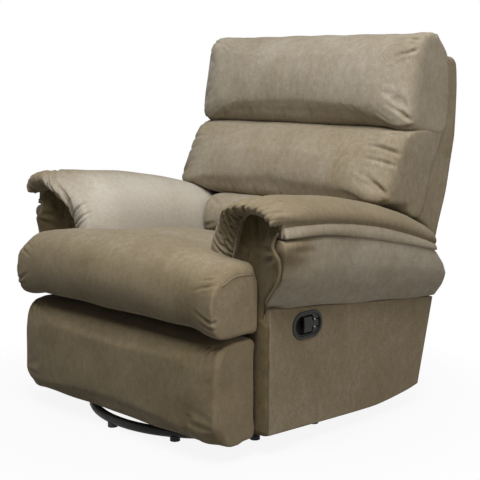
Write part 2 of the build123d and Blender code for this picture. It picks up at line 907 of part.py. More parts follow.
with BuildPart() as footrest_board:
    with BuildSketch(Plane.XZ.offset(-foot_board_rear)):
        with Locations((0, (board_top + board_bottom) / 2)):
            RectangleRounded(2 * board_half_width, board_top - board_bottom, foot_board_margin)
    extrude(amount=foot_board_thickness)
save(footrest_board, "footrest_board")

with BuildPart() as footrest_brackets:
    for side in (1, -1):
        with BuildSketch(side_plane(side, bracket_inner, bracket_inner + bar_thickness)):
            outline([
                (foot_board_rear, foot_pivot_z - foot_bracket_length),
                (foot_board_rear + bar_thickness, foot_pivot_z - foot_bracket_length),
                (foot_pivot_y + bar_width / 2, foot_pivot_z - bar_width / 2),
                (foot_pivot_y + bar_width / 2, board_top),
                (foot_board_rear, board_top),
            ])
            with Locations(foot_pivot):
                Circle(bar_pin_radius + run_clearance, mode=Mode.SUBTRACT)
        extrude(amount=bar_thickness)
        with BuildSketch(Plane.XZ.offset(-foot_board_rear)):
            flange = bracket_inner + bar_thickness + foot_bracket_flange / 2
            with Locations((side * flange, foot_pivot_z - foot_bracket_length / 2)):
                Rectangle(foot_bracket_flange, foot_bracket_length)
        extrude(amount=-bar_thickness)
save(footrest_brackets, "footrest_brackets")

with BuildPart() as footrest_pad:
    for share in both_ways(foot_shares):
        draw_in = foot_end_draw * abs(share) ** foot_end_sharpness
        with BuildSketch(Plane.YZ.offset(share * foot_half_width)):
            front = foot_front_y + draw_in
            top = foot_top - draw_in
            low = foot_bottom + draw_in
            corner = foot_corner
            bend = corner * (1 - sqrt(0.5))
            with BuildLine():
                Polyline((front + corner, low), (foot_rear_y, low), (foot_rear_y, top), (front + corner, top))
                ThreePointArc((front + corner, top), (front + bend, top - bend), (front, top - corner))
                ThreePointArc(
                    (front, top - corner), (front - foot_swell, (top + low) / 2), (front, low + corner)
                )
                ThreePointArc((front, low + corner), (front + bend, low + bend), (front + corner, low))
            make_face()
    loft(ruled=True)
    with BuildSketch(Plane.XZ.offset(-foot_rear_y)):
        with Locations((0, (board_top + board_bottom) / 2)):
            RectangleRounded(
                2 * (board_half_width + soft_gap),
                board_top - board_bottom + 2 * soft_gap,
                foot_board_margin,
            )
    extrude(amount=foot_rear_y - board_front, mode=Mode.SUBTRACT)
save(footrest_pad, "footrest_pad")

# Back, which reclines about the hinge pins behind the seat

rake = radians(back_rake)
back_plane = Plane(origin=(0, back_plane_y, back_plane_z), x_dir=(1, 0, 0), z_dir=(0, -cos(rake), sin(rake)))


def back_face(z):
    """Where the front face of the back frame stands at height z."""
    return back_plane_y + (z - back_plane_z) * sin(rake) / cos(rake)


with BuildPart() as back_frame:
    wing_length = back_frame_length - back_mid_rail
    with BuildSketch(back_plane):
        with Locations((0, back_frame_length / 2)):
            with GridLocations(2 * back_post_outer - back_post_width, 0, 2, 1):
                Rectangle(back_post_width, back_frame_length)
        with Locations((0, back_mid_rail + wing_length / 2)):
            with GridLocations(2 * back_frame_half_width - back_post_width, 0, 2, 1):
                Rectangle(back_post_width, wing_length)
        with Locations(
            (0, back_mid_rail + back_post_width / 2),
            (0, back_frame_length - back_post_width / 2),
        ):
            Rectangle(2 * back_frame_half_width, back_post_width)
        with Locations((0, 2 * back_post_width)):
            Rectangle(2 * back_post_outer, back_post_width)
    extrude(amount=-back_frame_thickness)
save(back_frame, "back_frame")

with BuildPart() as back_brackets:
    post_rear = back_frame_thickness / cos(rake)
    low_z = back_plane_z + back_post_width / 4
    high_z = back_plane_z + 2 * back_post_width
    for side in (1, -1):
        with BuildSketch(side_plane(side, back_post_outer, back_post_outer + back_bracket_plate)):
            outline([
                (recline_y - hinge_ear_radius / 2, recline_z + hinge_ear_radius / 2),
                (recline_y, recline_z - hinge_ear_radius),
                (back_face(low_z) + post_rear, low_z),
                (back_face(high_z) + post_rear, high_z),
                (back_face(high_z), high_z),
            ])
            with Locations((recline_y, recline_z)):
                Circle(hinge_ear_radius)
                Circle(recline_pin_radius + run_clearance, mode=Mode.SUBTRACT)
        extrude(amount=back_bracket_plate)
save(back_brackets, "back_brackets")

hinge_plate_outer = seat_rail_outer + mount_plate
with BuildPart() as back_hinge_plates:
    for side in (1, -1):
        with BuildSketch(side_plane(side, seat_rail_outer, hinge_plate_outer)):
            outline([
                (rear_stretcher_y + stretcher_width / 2 + plate_gap, seat_rail_bottom),
                (recline_y, recline_z - hinge_ear_radius),
                (recline_y + hinge_ear_radius, recline_z),
                (seat_rail_rear + cross_rail_thickness, seat_rail_top - plate_gap),
                (rear_stretcher_y + stretcher_width / 2 + plate_gap, seat_rail_top - plate_gap),
            ])
            with Locations((recline_y, recline_z)):
                Circle(hinge_ear_radius)
                Circle(recline_pin_radius + run_clearance, mode=Mode.SUBTRACT)
        extrude(amount=mount_plate)
save(back_hinge_plates, "back_hinge_plates")

hinge_pins = pins(
    ((recline_y, recline_z),), recline_pin_radius, back_post_outer + open_pivot_clearance, hinge_plate_outer,
    hinge_plate_outer, hinge_plate_outer + link_pin_head, link_pin_head_radius,
)
save(hinge_pins, "back_hinge_pins")


def shell_outline():
    front_top = (back_face(shell_front_top), shell_front_top)
    return [(back_face(shell_front_bottom), shell_front_bottom), *shell_rear, front_top]


def shell_hollow():
    """The room inside the outer back, open towards the cushions."""
    reach = 3 * shell_wall
    low = shell_front_bottom + shell_lip_rise
    high = shell_front_top - shell_wall
    inner = [(y - shell_wall, z) for y, z in shell_rear[1:-1]]
    first = (shell_rear[0][0] - shell_corner_in, shell_rear[0][1] + shell_corner_rise)
    last = (shell_rear[-1][0] - shell_wall / 2, high)
    return [
        (back_face(low) - reach, low),
        (back_face(low), low),
        first,
        *inner,
        last,
        (back_face(high) - reach, high),
    ]


with BuildPart() as back_shell:
    corner_y, corner_z = shell_rear[0]
    with BuildSketch(Plane.YZ.offset(-back_half_width)):
        outline(shell_outline())
    extrude(amount=2 * back_half_width)
    with BuildSketch(Plane.YZ.offset(shell_wall - back_half_width)):
        outline(shell_hollow())
    extrude(amount=2 * (back_half_width - shell_wall), mode=Mode.SUBTRACT)
    with BuildSketch(Plane.YZ.offset(-post_opening)):
        outline([
            (back_face(corner_z) - 3 * shell_wall, corner_z - 3 * shell_wall),
            (corner_y - 2 * shell_wall, corner_z - 3 * shell_wall),
            (corner_y - shell_wall, corner_z + 2 * shell_wall),
            (corner_y - shell_wall, shell_front_bottom + 3 * shell_wall),
            (back_face(corner_z) - 3 * shell_wall, shell_front_bottom + 3 * shell_wall),
        ])
    extrude(amount=2 * post_opening, mode=Mode.SUBTRACT)
    with BuildSketch(Plane.YZ.offset(-tail_half_width)):
        outline([
            (corner_y - tail_rake - shell_wall, tail_bottom),
            (corner_y - tail_rake, tail_bottom),
            (corner_y, corner_z),
            (corner_y, corner_z + 2 * shell_wall),
            (corner_y - shell_wall, corner_z + 2 * shell_wall),
            (corner_y - shell_wall, corner_z),
        ])
    extrude(amount=2 * tail_half_width)
save(back_shell, "back_shell")


def drawn(points, middle_z, keep):
    """Points of a cushion section pulled back towards the frame, and a little towards its middle height."""
    flatten = 1 - height_draw * (1 - keep)
    pulled = []
    for y, z in points:
        face = back_face(z) - soft_gap
        new_z = middle_z + (z - middle_z) * flatten
        pulled.append((back_face(new_z) - soft_gap + (y - face) * keep, new_z))
    return pulled


def blend_points(first, second, share):
    return [(a[0] + (b[0] - a[0]) * share, a[1] + (b[1] - a[1]) * share) for a, b in zip(first, second)]


def back_cushion(label, half_width, end_keep, form, end_form):
    """Crowned cushion across the back, drawn in towards its two ends."""
    with BuildPart() as cushion:
        for share in both_ways(back_shares):
            keep = 1 - (1 - end_keep) * abs(share) ** back_end_sharpness
            spread = min(1.0, max(0.0, (abs(share) - saddle_start) / saddle_width))
            section = blend_points(form, end_form, spread)
            middle_z = (section[4][1] + section[5][1]) / 2
            points = drawn(section, middle_z, keep)
            with BuildSketch(Plane.YZ.offset(share * half_width)):
                with BuildLine():
                    ThreePointArc(*points[0:3])
                    ThreePointArc(*points[2:5])
                    Polyline(points[4], points[5], points[0])
                make_face()
        loft(ruled=True)
    save(cushion, label)


def cushion_form(low_front, bulge, high_front, crown, rear_top_z, rear_low_z):
    """Side view of a back cushion: front from low to high, over the crown, then down the frame."""
    rear_top = (back_face(rear_top_z) - soft_gap, rear_top_z)
    rear_low = (back_face(rear_low_z) - soft_gap, rear_low_z)
    return (low_front, bulge, high_front, crown, rear_top, rear_low)


head_form = cushion_form((350, 772), (329, 896), (388, 1008), (448, 1026), 962, 776)
lumbar_form = cushion_form((243, 563), (257, 676), (338, 764), (402, 768), 766, 540)
lumbar_end_form = cushion_form((262, 596), (281, 692), (350, 764), (408, 767), 766, 552)
lower_form = cushion_form((188, 447), (196, 508), (238, 554), (325, 545), 528, 447)
back_cushion("head_cushion", back_half_width, head_end_keep, head_form, head_form)
back_cushion("lumbar_cushion", back_half_width, lumbar_end_keep, lumbar_form, lumbar_end_form)
back_cushion("lower_cushion", lower_half_width, lower_end_keep, lower_form, lower_form)

# Release handle on the sitter's left

hollow_length = cup_length - 2 * cup_flange
hollow_height = cup_height - 2 * cup_flange
cup_face = side_panel_outer + cup_proud
with BuildPart() as handle_cup:
    with BuildSketch(Plane.YZ.offset(side_panel_outer)):
        with Locations((handle_y, handle_z)):
            SlotOverall(cup_length, cup_height)
    extrude(amount=cup_proud)
    fillet(handle_cup.edges().group_by(Axis.X)[-1], cup_proud / 2)
    with BuildSketch(Plane.YZ.offset(side_panel_outer - cup_depth)):
        with Locations((handle_y, handle_z)):
            SlotOverall(hollow_length + 2 * cup_wall, hollow_height + 2 * cup_wall)
    extrude(amount=cup_depth)
    with BuildSketch(Plane.YZ.offset(side_panel_outer - cup_depth + cup_floor)):
        with Locations((handle_y, handle_z)):
            SlotOverall(hollow_length, hollow_height)
    extrude(amount=cup_depth + cup_proud, mode=Mode.SUBTRACT)
save(handle_cup, "handle_cup")

paddle_pin_y = handle_y + paddle_pin_offset
paddle_x = cup_face - paddle_thickness - plate_gap
paddle_pin_x = paddle_x + paddle_thickness - paddle_barrel_radius
end_radius = hollow_height / 2
end_reach = paddle_pin_offset - (hollow_length - hollow_height) / 2
pin_half = sqrt(end_radius**2 - (end_reach + paddle_pin_radius) ** 2) - run_clearance
barrel_half = sqrt(end_radius**2 - (end_reach + paddle_barrel_radius) ** 2) - paddle_gap

with BuildPart() as handle_pin:
    with BuildSketch(Plane.XY.offset(handle_z - pin_half)):
        with Locations((paddle_pin_x, paddle_pin_y)):
            Circle(paddle_pin_radius)
    extrude(amount=2 * pin_half)
save(handle_pin, "handle_pin")

with BuildPart() as handle_paddle:
    with BuildSketch(Plane.YZ.offset(paddle_x)):
        with Locations((handle_y, handle_z)):
            SlotOverall(hollow_length - 2 * paddle_gap, hollow_height - 2 * paddle_gap)
        with Locations((handle_y + (paddle_front + paddle_rear) / 2, handle_z)):
            Rectangle(paddle_rear - paddle_front, cup_height, mode=Mode.INTERSECT)
    extrude(amount=paddle_thickness)
    with BuildSketch(Plane.XY.offset(handle_z - barrel_half)):
        with Locations((paddle_pin_x, paddle_pin_y)):
            Circle(paddle_barrel_radius)
    extrude(amount=2 * barrel_half)
    with BuildSketch(Plane.XY.offset(handle_z - cup_height / 2)):
        with Locations((paddle_pin_x, paddle_pin_y)):
            Circle(paddle_pin_radius + run_clearance)
    extrude(amount=cup_height, mode=Mode.SUBTRACT)
save(handle_paddle, "handle_paddle")

cable_route = (
    (side_panel_outer - cup_depth, handle_y, handle_z),
    (cable_straight_end, handle_y, handle_z),
    *cable_middle,
    (mount_outer + plate_gap, cable_end_y, cable_end_z),
)
with BuildPart() as release_cable:
    with BuildLine() as cable_line:
        FilletPolyline(*cable_route, radius=cable_bends)
    with BuildSketch(Plane(origin=cable_line.line @ 0, z_dir=cable_line.line % 0)):
        Circle(cable_radius)
    sweep()
save(release_cable, "release_cable")
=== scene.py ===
"""Looks of an upholstered swivel glider recliner.

Metres, +Z up, the sitter faces -Y, +X is the sitter's left, origin on the floor at the swivel axis.
"""
import json
import math

import bmesh
import bpy
import numpy as np
from mathutils import Matrix, Vector
from mathutils.bvhtree import BVHTree


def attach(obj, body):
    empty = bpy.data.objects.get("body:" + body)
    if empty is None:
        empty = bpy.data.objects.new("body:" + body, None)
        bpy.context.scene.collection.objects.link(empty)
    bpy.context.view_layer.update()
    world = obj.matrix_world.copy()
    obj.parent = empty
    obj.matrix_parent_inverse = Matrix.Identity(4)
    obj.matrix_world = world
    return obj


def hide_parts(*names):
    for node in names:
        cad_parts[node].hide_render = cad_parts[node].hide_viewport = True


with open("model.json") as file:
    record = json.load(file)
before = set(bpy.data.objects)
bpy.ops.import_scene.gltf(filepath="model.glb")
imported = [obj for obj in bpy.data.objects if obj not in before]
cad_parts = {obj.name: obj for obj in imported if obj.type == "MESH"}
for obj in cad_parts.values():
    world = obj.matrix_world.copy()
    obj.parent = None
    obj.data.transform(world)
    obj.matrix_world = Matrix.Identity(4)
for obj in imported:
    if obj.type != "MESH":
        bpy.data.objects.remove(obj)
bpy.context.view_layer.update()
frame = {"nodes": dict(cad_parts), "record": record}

# Sizes shared with the solids
ARM_FRONT = -0.200
SIDE_OUTER = 0.412
PANEL_BOTTOM = 0.050
HANDLE_Y = -0.065
HANDLE_Z = 0.305
BACK_LEAN = math.tan(math.radians(13.2))

# How finely the covers are worked
COVER_GRID = 0.006
FILL_STEPS = 20
FOLD_STEPS = 10


# Shapes


def ease(low, high, value):
    share = np.clip((np.asarray(value, float) - low) / (high - low), 0, 1)
    return share * share * (3 - 2 * share)


def read_off(pairs, value):
    """The value that a row of pairs gives, with straight lines between them."""
    return np.interp(value, *np.transpose(pairs))


def smooth_curve(points, count, closed=False):
    """Even samples on a smooth curve through the points."""
    knots = np.array(points, float)
    if closed:
        reach = np.vstack([knots[-1:], knots, knots[:2]])
        spans = len(knots)
    else:
        reach = np.vstack([2 * knots[:1] - knots[1:2], knots, 2 * knots[-1:] - knots[-2:-1]])
        spans = len(knots) - 1
    t = np.linspace(0, 1, 16, endpoint=False)[:, None]
    fine = []
    for i in range(spans):
        a, b, c, d = reach[i : i + 4]
        fine.append(
            0.5 * (2 * b + (c - a) * t + (2 * a - 5 * b + 4 * c - d) * t**2 + (3 * b - a - 3 * c + d) * t**3)
        )
    fine = np.vstack(fine + [knots[:1] if closed else knots[-1:]])
    run = np.r_[0, np.cumsum(np.linalg.norm(np.diff(fine, axis=0), axis=1))]
    want = np.linspace(0, run[-1], count, endpoint=not closed)
    return np.stack([np.interp(want, run, fine[:, k]) for k in range(knots.shape[1])], 1)


def placed(name, data):
    """A new object in the scene."""
    piece = bpy.data.objects.new(name, data)
    bpy.context.scene.collection.objects.link(piece)
    return piece


def sewn(name, vertices, faces):
    """A smooth-shaded mesh object."""
    mesh = bpy.data.meshes.new(name)
    mesh.from_pydata([tuple(v) for v in vertices], [], faces)
    mesh.validate()
    mesh.shade_smooth()
    return placed(name, mesh)


def loft(name, rows):
    """Closed skin over rows of points, each row a closed loop, with its two ends closed."""
    rows = np.array(rows)
    count, width = rows.shape[:2]
    faces = []
    for i in range(count - 1):
        for j in range(width):
            k = (j + 1) % width
            faces.append((i * width + j, i * width + k, (i + 1) * width + k, (i + 1) * width + j))
    faces.append(tuple(range(width - 1, -1, -1)))
    faces.append(tuple(range((count - 1) * width, count * width)))
    piece = sewn(name, rows.reshape(-1, 3), faces)
    outward(piece)
    return piece


def outward(piece):
    """Turns all faces outwards."""
    shape = bmesh.new()
    shape.from_mesh(piece.data)
    bmesh.ops.recalc_face_normals(shape, faces=shape.faces)
    shape.to_mesh(piece.data)
    shape.free()
    piece.data.shade_smooth()


def two_sheets(name, front, back):
    """A closed cover from two sheets of points, with the same rows and columns, joined at their borders."""
    rows, columns = front.shape[:2]
    half = rows * columns
    faces = []
    for i in range(rows - 1):
        for j in range(columns - 1):
            a, b = i * columns + j, (i + 1) * columns + j
            faces.append((a, a + 1, b + 1, b))
            faces.append((half + a, half + b, half + b + 1, half + a + 1))
        for j in (0, columns - 1):
            a, b = i * columns + j, (i + 1) * columns + j
            faces.append((a, b, half + b, half + a))
    for i in (0, rows - 1):
        for j in range(columns - 1):
            a = i * columns + j
            faces.append((a, a + 1, half + a + 1, half + a))
    cover = sewn(name, np.concatenate([front.reshape(-1, 3), back.reshape(-1, 3)]), faces)
    outward(cover)
    return cover


def inward_of(outline):
    """Unit directions that point into a closed outline, one for each of its points."""
    along = np.roll(outline, -1, axis=0) - np.roll(outline, 1, axis=0)
    along /= np.linalg.norm(along, axis=1, keepdims=True)
    inward = np.c_[-along[:, 1], along[:, 0]]
    return inward * np.sign(np.sum(inward * (outline.mean(0) - outline)))


def across(half_width, section_at, corner, soft, count=31, inward=inward_of):
    """Rows of a cover that lies across the chair.

    Its ends round off over the corner size, by the share that soft gives for each point of the outline.
    """
    bend = np.linspace(0, math.pi / 2, 9)[1:]
    turn = [(half_width - corner + corner * math.sin(b), corner * (1 - math.cos(b))) for b in bend]
    places = [(-x, inset) for x, inset in reversed(turn)]
    places += [(x, 0.0) for x in np.linspace(corner - half_width, half_width - corner, count)]
    places += turn
    rows = []
    for x, inset in places:
        outline = section_at(x)
        outline = outline + inward(outline) * (inset * soft(outline))[:, None]
        rows.append(np.c_[np.full(len(outline), x), outline])
    return rows


def evenly(outline):
    """The same rounding all round an end."""
    return np.ones(len(outline))


def tube(name, path, radius, sides=10):
    """A round cord of fabric, such as a welt, along a path of points."""
    path = np.array(path, float)
    along = np.gradient(path, axis=0)
    along /= np.linalg.norm(along, axis=1, keepdims=True)
    normal = np.cross(along[0], (0.31, 0.22, 0.93))
    rows = []
    for point, ahead in zip(path, along):
        normal = normal - ahead * (normal @ ahead)
        normal /= np.linalg.norm(normal)
        side = np.cross(ahead, normal)
        ring = [
            point + radius * (math.cos(a) * normal + math.sin(a) * side)
            for a in np.linspace(0, 2 * math.pi, sides, endpoint=False)
        ]
        rows.append(ring)
    return loft(name, rows)


def points_of(mesh):
    flat = np.empty(len(mesh.vertices) * 3)
    mesh.vertices.foreach_get("co", flat)
    return flat.reshape(-1, 3)


def normals_of(mesh):
    flat = np.empty(len(mesh.vertices) * 3)
    mesh.vertex_normals.foreach_get("vector", flat)
    return flat.reshape(-1, 3)


def put_points(mesh, points):
    mesh.vertices.foreach_set("co", np.ascontiguousarray(points).ravel())
    mesh.update()


def settle(piece):
    """Takes the modifiers into the mesh."""
    view = bpy.context.evaluated_depsgraph_get()
    mesh = bpy.data.meshes.new_from_object(piece.evaluated_get(view))
    piece.modifiers.clear()
    old = piece.data
    piece.data = mesh
    bpy.data.meshes.remove(old)
    mesh.shade_smooth()


def even_out(piece, voxel, rounds):
    """Makes one even skin of all the overlapping shapes in a piece, and eases its edges."""
    remesh = piece.modifiers.new("even", "REMESH")
    remesh.mode = "VOXEL"
    remesh.voxel_size = voxel
    settle(piece)
    easing = piece.modifiers.new("ease", "SMOOTH")
    easing.factor = 0.5
    easing.iterations = rounds
    settle(piece)


def fill_up(piece, pressure, cap, held):
    """Swells a cushion like foam pressing into its cover, held where it rests on the frame."""
    rest = points_of(piece.data)
    weight = np.clip(held(rest), 0, 1)
    group = piece.vertex_groups.new(name="held")
    for level in np.unique(np.round(weight, 1)):
        if level > 0:
            chosen = np.flatnonzero(np.round(weight, 1) == level)
            group.add([int(i) for i in chosen], float(level), "REPLACE")
    cloth = piece.modifiers.new("filling", "CLOTH")
    cloth.settings.quality = 4
    cloth.settings.mass = 0.3
    cloth.settings.use_pressure = True
    cloth.settings.uniform_pressure_force = pressure
    cloth.settings.effector_weights.gravity = 0
    cloth.settings.vertex_group_mass = "held"
    cloth.collision_settings.use_collision = False
    cloth.point_cache.frame_start = 1
    cloth.point_cache.frame_end = FILL_STEPS
    scene = bpy.context.scene
    for step in range(1, FILL_STEPS + 1):
        scene.frame_set(step)
    view = bpy.context.evaluated_depsgraph_get()
    swollen = points_of(piece.evaluated_get(view).data)
    piece.modifiers.clear()
    piece.vertex_groups.clear()
    scene.frame_set(1)
    shift = swollen - rest
    length = np.linalg.norm(shift, axis=1, keepdims=True)
    put_points(piece.data, rest + shift * np.minimum(1, cap / np.maximum(length, 1e-9)))


def finer(piece):
    subdivision = piece.modifiers.new("finer", "SUBSURF")
    subdivision.levels = 1
    subdivision.render_levels = 1
    settle(piece)


def ripples(points, size, seed, count=14):
    """Soft irregular waves of about the given size."""
    draw = np.random.default_rng(seed)
    total = np.zeros(len(points))
    for _ in range(count):
        way = draw.normal(size=3)
        way /= np.linalg.norm(way)
        pace = 2 * math.pi / (size * draw.uniform(0.6, 1.7))
        total += np.sin(points @ way * pace + draw.uniform(0, 2 * math.pi))
    return total / math.sqrt(count)


def crumple(piece, size, height, seed):
    """Gentle unevenness of the cover over its filling."""
    points, normals = points_of(piece.data), normals_of(piece.data)
    put_points(piece.data, points + normals * (height * ripples(points, size, seed))[:, None])


def pinch(piece, folds):
    """Pinched folds over a surface, each with a deep start, a fading end, a width and a depth."""
    points, normals = points_of(piece.data), normals_of(piece.data)
    lift = np.zeros(len(points))
    for start, end, width, depth in folds:
        path = laid_on(piece, np.linspace(start, end, FOLD_STEPS + 1))
        near = np.flatnonzero(
            np.all((points > path.min(0) - 4 * width) & (points < path.max(0) + 4 * width), axis=1)
        )
        away = np.full(len(near), np.inf)
        along = np.zeros(len(near))
        for k in range(FOLD_STEPS):
            line = path[k + 1] - path[k]
            share = np.clip((points[near] - path[k]) @ line / max(line @ line, 1e-12), 0, 1)
            gap = np.linalg.norm(points[near] - path[k] - share[:, None] * line, axis=1) / width
            along = np.where(gap < away, (k + share) / FOLD_STEPS, along)
            away = np.minimum(gap, away)
        dip = np.exp(-(away**2)) - 0.28 * np.exp(-((away - 1.9) ** 2) / 1.1)
        lift[near] -= depth * (1 - along) ** 0.8 * ease(-0.10, 0.18, along) * dip
    put_points(piece.data, points + normals * lift[:, None])


def mirrored(folds, side, pull=1.0):
    """Folds given for the sitter's left, put on one side of the chair and pulled more or less deep."""
    flip = np.array((side, 1, 1))
    return [(start * flip, end * flip, width, depth * pull) for start, end, width, depth in folds]


def laid_on(piece, path):
    """Moves the points of a path on to the surface of a piece."""
    view = bpy.context.evaluated_depsgraph_get()
    skin = BVHTree.FromObject(piece, view)
    return np.array([skin.find_nearest(Vector(point))[0] for point in path])


# Cushions across the chair


def back_face(z):
    return 0.347 + (z - 0.250) * BACK_LEAN


def blended(first, second, share):
    return np.array(first) * (1 - share) + np.array(second) * share


SEAT_HALF = 0.3920
SEAT_CORNER = 0.030
SEAT_BODY_HALF = 0.2265
SEAT_FLANK_HALF = 0.2385
SEAT_FLANK = (
    (0.160, 0.330), (-0.196, 0.330), (-0.196, 0.448), (-0.020, 0.418), (0.080, 0.400), (0.160, 0.386),
)
SEAT_FOLDS = (
    ((0.381, -0.352, 0.436), (0.322, -0.370, 0.420), 0.0040, 0.0045),
    ((0.374, -0.352, 0.456), (0.325, -0.362, 0.444), 0.0035, 0.0035),
    ((0.388, -0.358, 0.352), (0.330, -0.373, 0.378), 0.0045, 0.0045),
    ((0.388, -0.360, 0.338), (0.340, -0.371, 0.346), 0.0040, 0.0030),
    ((0.226, -0.225, 0.486), (0.180, -0.300, 0.500), 0.0090, 0.0050),
)


def seat_body_section(x):
    """The part of the seat between the arms; its sides tuck down along the arms, more towards the back."""
    tuck = (abs(x) / SEAT_BODY_HALF) ** 3
    return smooth_curve(
        [
            (0.168, 0.323), (-0.10, 0.3195), (-0.300, 0.3195), (-0.350, 0.330), (-0.3725, 0.385),
            (-0.357, 0.462), (-0.304, 0.497), (-0.16, 0.503 - 0.032 * tuck), (-0.02, 0.493 - 0.046 * tuck),
            (0.08, 0.468 - 0.039 * tuck), (0.164, 0.437 - 0.024 * tuck), (0.183, 0.398),
        ],
        64, closed=True,
    )


def seat_body_soft(outline):
    return 0.4 * ease(0.33, 0.42, outline[:, 1])


def seat_flank_section(x):
    """The lower part of the seat, which fills the space between the arms under the hems of their pads."""
    return np.array(SEAT_FLANK)


def seat_front_section(x):
    """The wide front of the seat with its two ears in front of the arms."""
    out = abs(x)
    top = 0.496 - 0.015 * float(ease(0.22, 0.36, out))
    low = 0.3195 - 0.012 * float(ease(0.30, 0.37, out))
    return smooth_curve(
        [
            (-0.2190, low + 0.006), (-0.250, low), (-0.325, low + 0.001), (-0.358, low + 0.013),
            (-0.3725, 0.366), (-0.3680, 0.425), (-0.348, top - 0.026), (-0.308, top - 0.002),
            (-0.245, top - 0.001), (-0.2190, top - 0.012), (-0.2180, 0.400),
        ],
        56, closed=True,
    )


def seat_front_soft(outline):
    """The top of the ears rounds off; their front, underside and back stay boxed."""
    return 0.04 + 0.90 * ease(0.415, 0.470, outline[:, 1])


def joined(name, *parts):
    """One object from several overlapping meshes."""
    vertices, faces, base = [], [], 0
    for part in parts:
        vertices.append(points_of(part.data))
        faces += [tuple(base + i for i in face.vertices) for face in part.data.polygons]
        base += len(part.data.vertices)
        bpy.data.objects.remove(part)
    return sewn(name, np.vstack(vertices), faces)


def seat_held(points):
    """The seat is held on its rails, at its end panels, behind its ears and under the back."""
    out = np.abs(points[:, 0])
    return np.maximum.reduce([
        1 - ease(0.322, 0.345, points[:, 2]),
        ease(0.382, 0.389, out),
        ease(-0.235, -0.222, points[:, 1]) * ease(0.20, 0.222, out),
        ease(0.10, 0.15, points[:, 1]),
    ])


def make_seat_cushion():
    body = loft("seat_body", across(SEAT_BODY_HALF, seat_body_section, 0.022, seat_body_soft))
    flanks = loft("seat_flanks", across(SEAT_FLANK_HALF, seat_flank_section, 0.004, evenly))
    front = loft("seat_front", across(SEAT_HALF, seat_front_section, SEAT_CORNER, seat_front_soft, 41))
    seat = joined("seat_cover", body, flanks, front)
    even_out(seat, COVER_GRID, 4)
    fill_up(seat, 4.0, 0.014, seat_held)
    finer(seat)
    crumple(seat, 0.11, 0.0011, 3)
    pinch(seat, mirrored(SEAT_FOLDS, 1) + mirrored(SEAT_FOLDS, -1))
    return seat


def make_seat_end_seams(seat):
    """The seams round the two boxed end panels of the seat cushion."""
    border = across(SEAT_HALF, seat_front_section, SEAT_CORNER, seat_front_soft)[-1]
    shown = border[(border[:, 1] > -0.340) & (border[:, 1] < -0.228) & (border[:, 2] > 0.40)]
    seams = []
    for side, name in ((1, "left"), (-1, "right")):
        path = laid_on(seat, shown * (side, 1, 1))
        seams.append(tube(f"seat_end_seam_{name}", smooth_curve(path[::2], 40), 0.0015, 8))
    return seams


FOOT_HALF = 0.3840
FOOT_CORNER = 0.014
FOOT_FACE_FOLDS = (
    ((0.305, -0.358, 0.118), (0.300, -0.358, 0.088), 0.012, 0.0035),
    ((0.285, -0.350, 0.085), (0.300, -0.350, 0.062), 0.009, 0.0030),
)
FOOT_CORNER_FOLDS = (
    ((0.352, -0.325, 0.284), (0.330, -0.354, 0.244), 0.0050, 0.0065),
    ((0.334, -0.325, 0.284), (0.312, -0.354, 0.252), 0.0050, 0.0055),
    ((0.366, -0.318, 0.284), (0.356, -0.348, 0.240), 0.0050, 0.0050),
    ((0.316, -0.325, 0.284), (0.302, -0.352, 0.262), 0.0045, 0.0040),
)


def foot_section(x):
    """Outline of the footrest pad; its lower corners lift a little at the two ends."""
    lift = 0.030 * float(ease(0.330, 0.385, abs(x))) ** 2
    return smooth_curve(
        [
            (-0.2225, 0.0480), (-0.2215, 0.110), (-0.2215, 0.240), (-0.2225, 0.2890), (-0.246, 0.2945),
            (-0.300, 0.2935), (-0.334, 0.281), (-0.3520, 0.245), (-0.3585, 0.170), (-0.3590, 0.105),
            (-0.3560, 0.062 + lift), (-0.3430, 0.0445 + lift), (-0.310, 0.0415), (-0.250, 0.0430),
        ],
        96, closed=True,
    )


def foot_soft(outline):
    """The face of the pad rounds off at its ends; its rear stays boxed."""
    return 1 - 0.9 * ease(-0.350, -0.300, outline[:, 0])


def foot_held(points):
    """The pad is held on its board and at its two ends."""
    return np.maximum(ease(-0.255, -0.235, points[:, 1]), ease(0.373, 0.380, np.abs(points[:, 0])))


def make_footrest_pad():
    pad = loft("footrest_cover", across(FOOT_HALF, foot_section, FOOT_CORNER, foot_soft, 41))
    even_out(pad, COVER_GRID, 2)
    fill_up(pad, 3.0, 0.006, foot_held)
    finer(pad)
    crumple(pad, 0.13, 0.0010, 8)
    pinch(pad, [*FOOT_FACE_FOLDS, *mirrored(FOOT_CORNER_FOLDS, 1), *mirrored(FOOT_CORNER_FOLDS, -1)])
    return pad


BACK_CORNER = 0.060
SIDE_SEAM = ((0.533, 0.390), (0.626, 0.432), (0.733, 0.484), (0.760, 0.497), (0.842, 0.512), (0.951, 0.507))
HEAD_HALF = 0.4060
HEAD_MIDDLE = (
    (0.374, 0.7610), (0.345, 0.782), (0.331, 0.822), (0.328, 0.872), (0.336, 0.922), (0.356, 0.974),
    (0.376, 1.003), (0.404, 1.021), (0.440, 1.0270), (0.484, 1.012), (0.5085, 0.980), (0.5140, 0.945),
    (0.5190, 0.842), (0.5050, 0.765), (0.440, 0.7550),
)
HEAD_END = (
    (0.372, 0.7605), (0.336, 0.7740), (0.324, 0.803), (0.328, 0.847), (0.338, 0.892), (0.349, 0.941),
    (0.362, 0.990), (0.388, 1.0180), (0.430, 1.0255), (0.478, 1.006), (0.5140, 0.972), (0.5260, 0.935),
    (0.5320, 0.842), (0.5180, 0.757), (0.446, 0.7510),
)
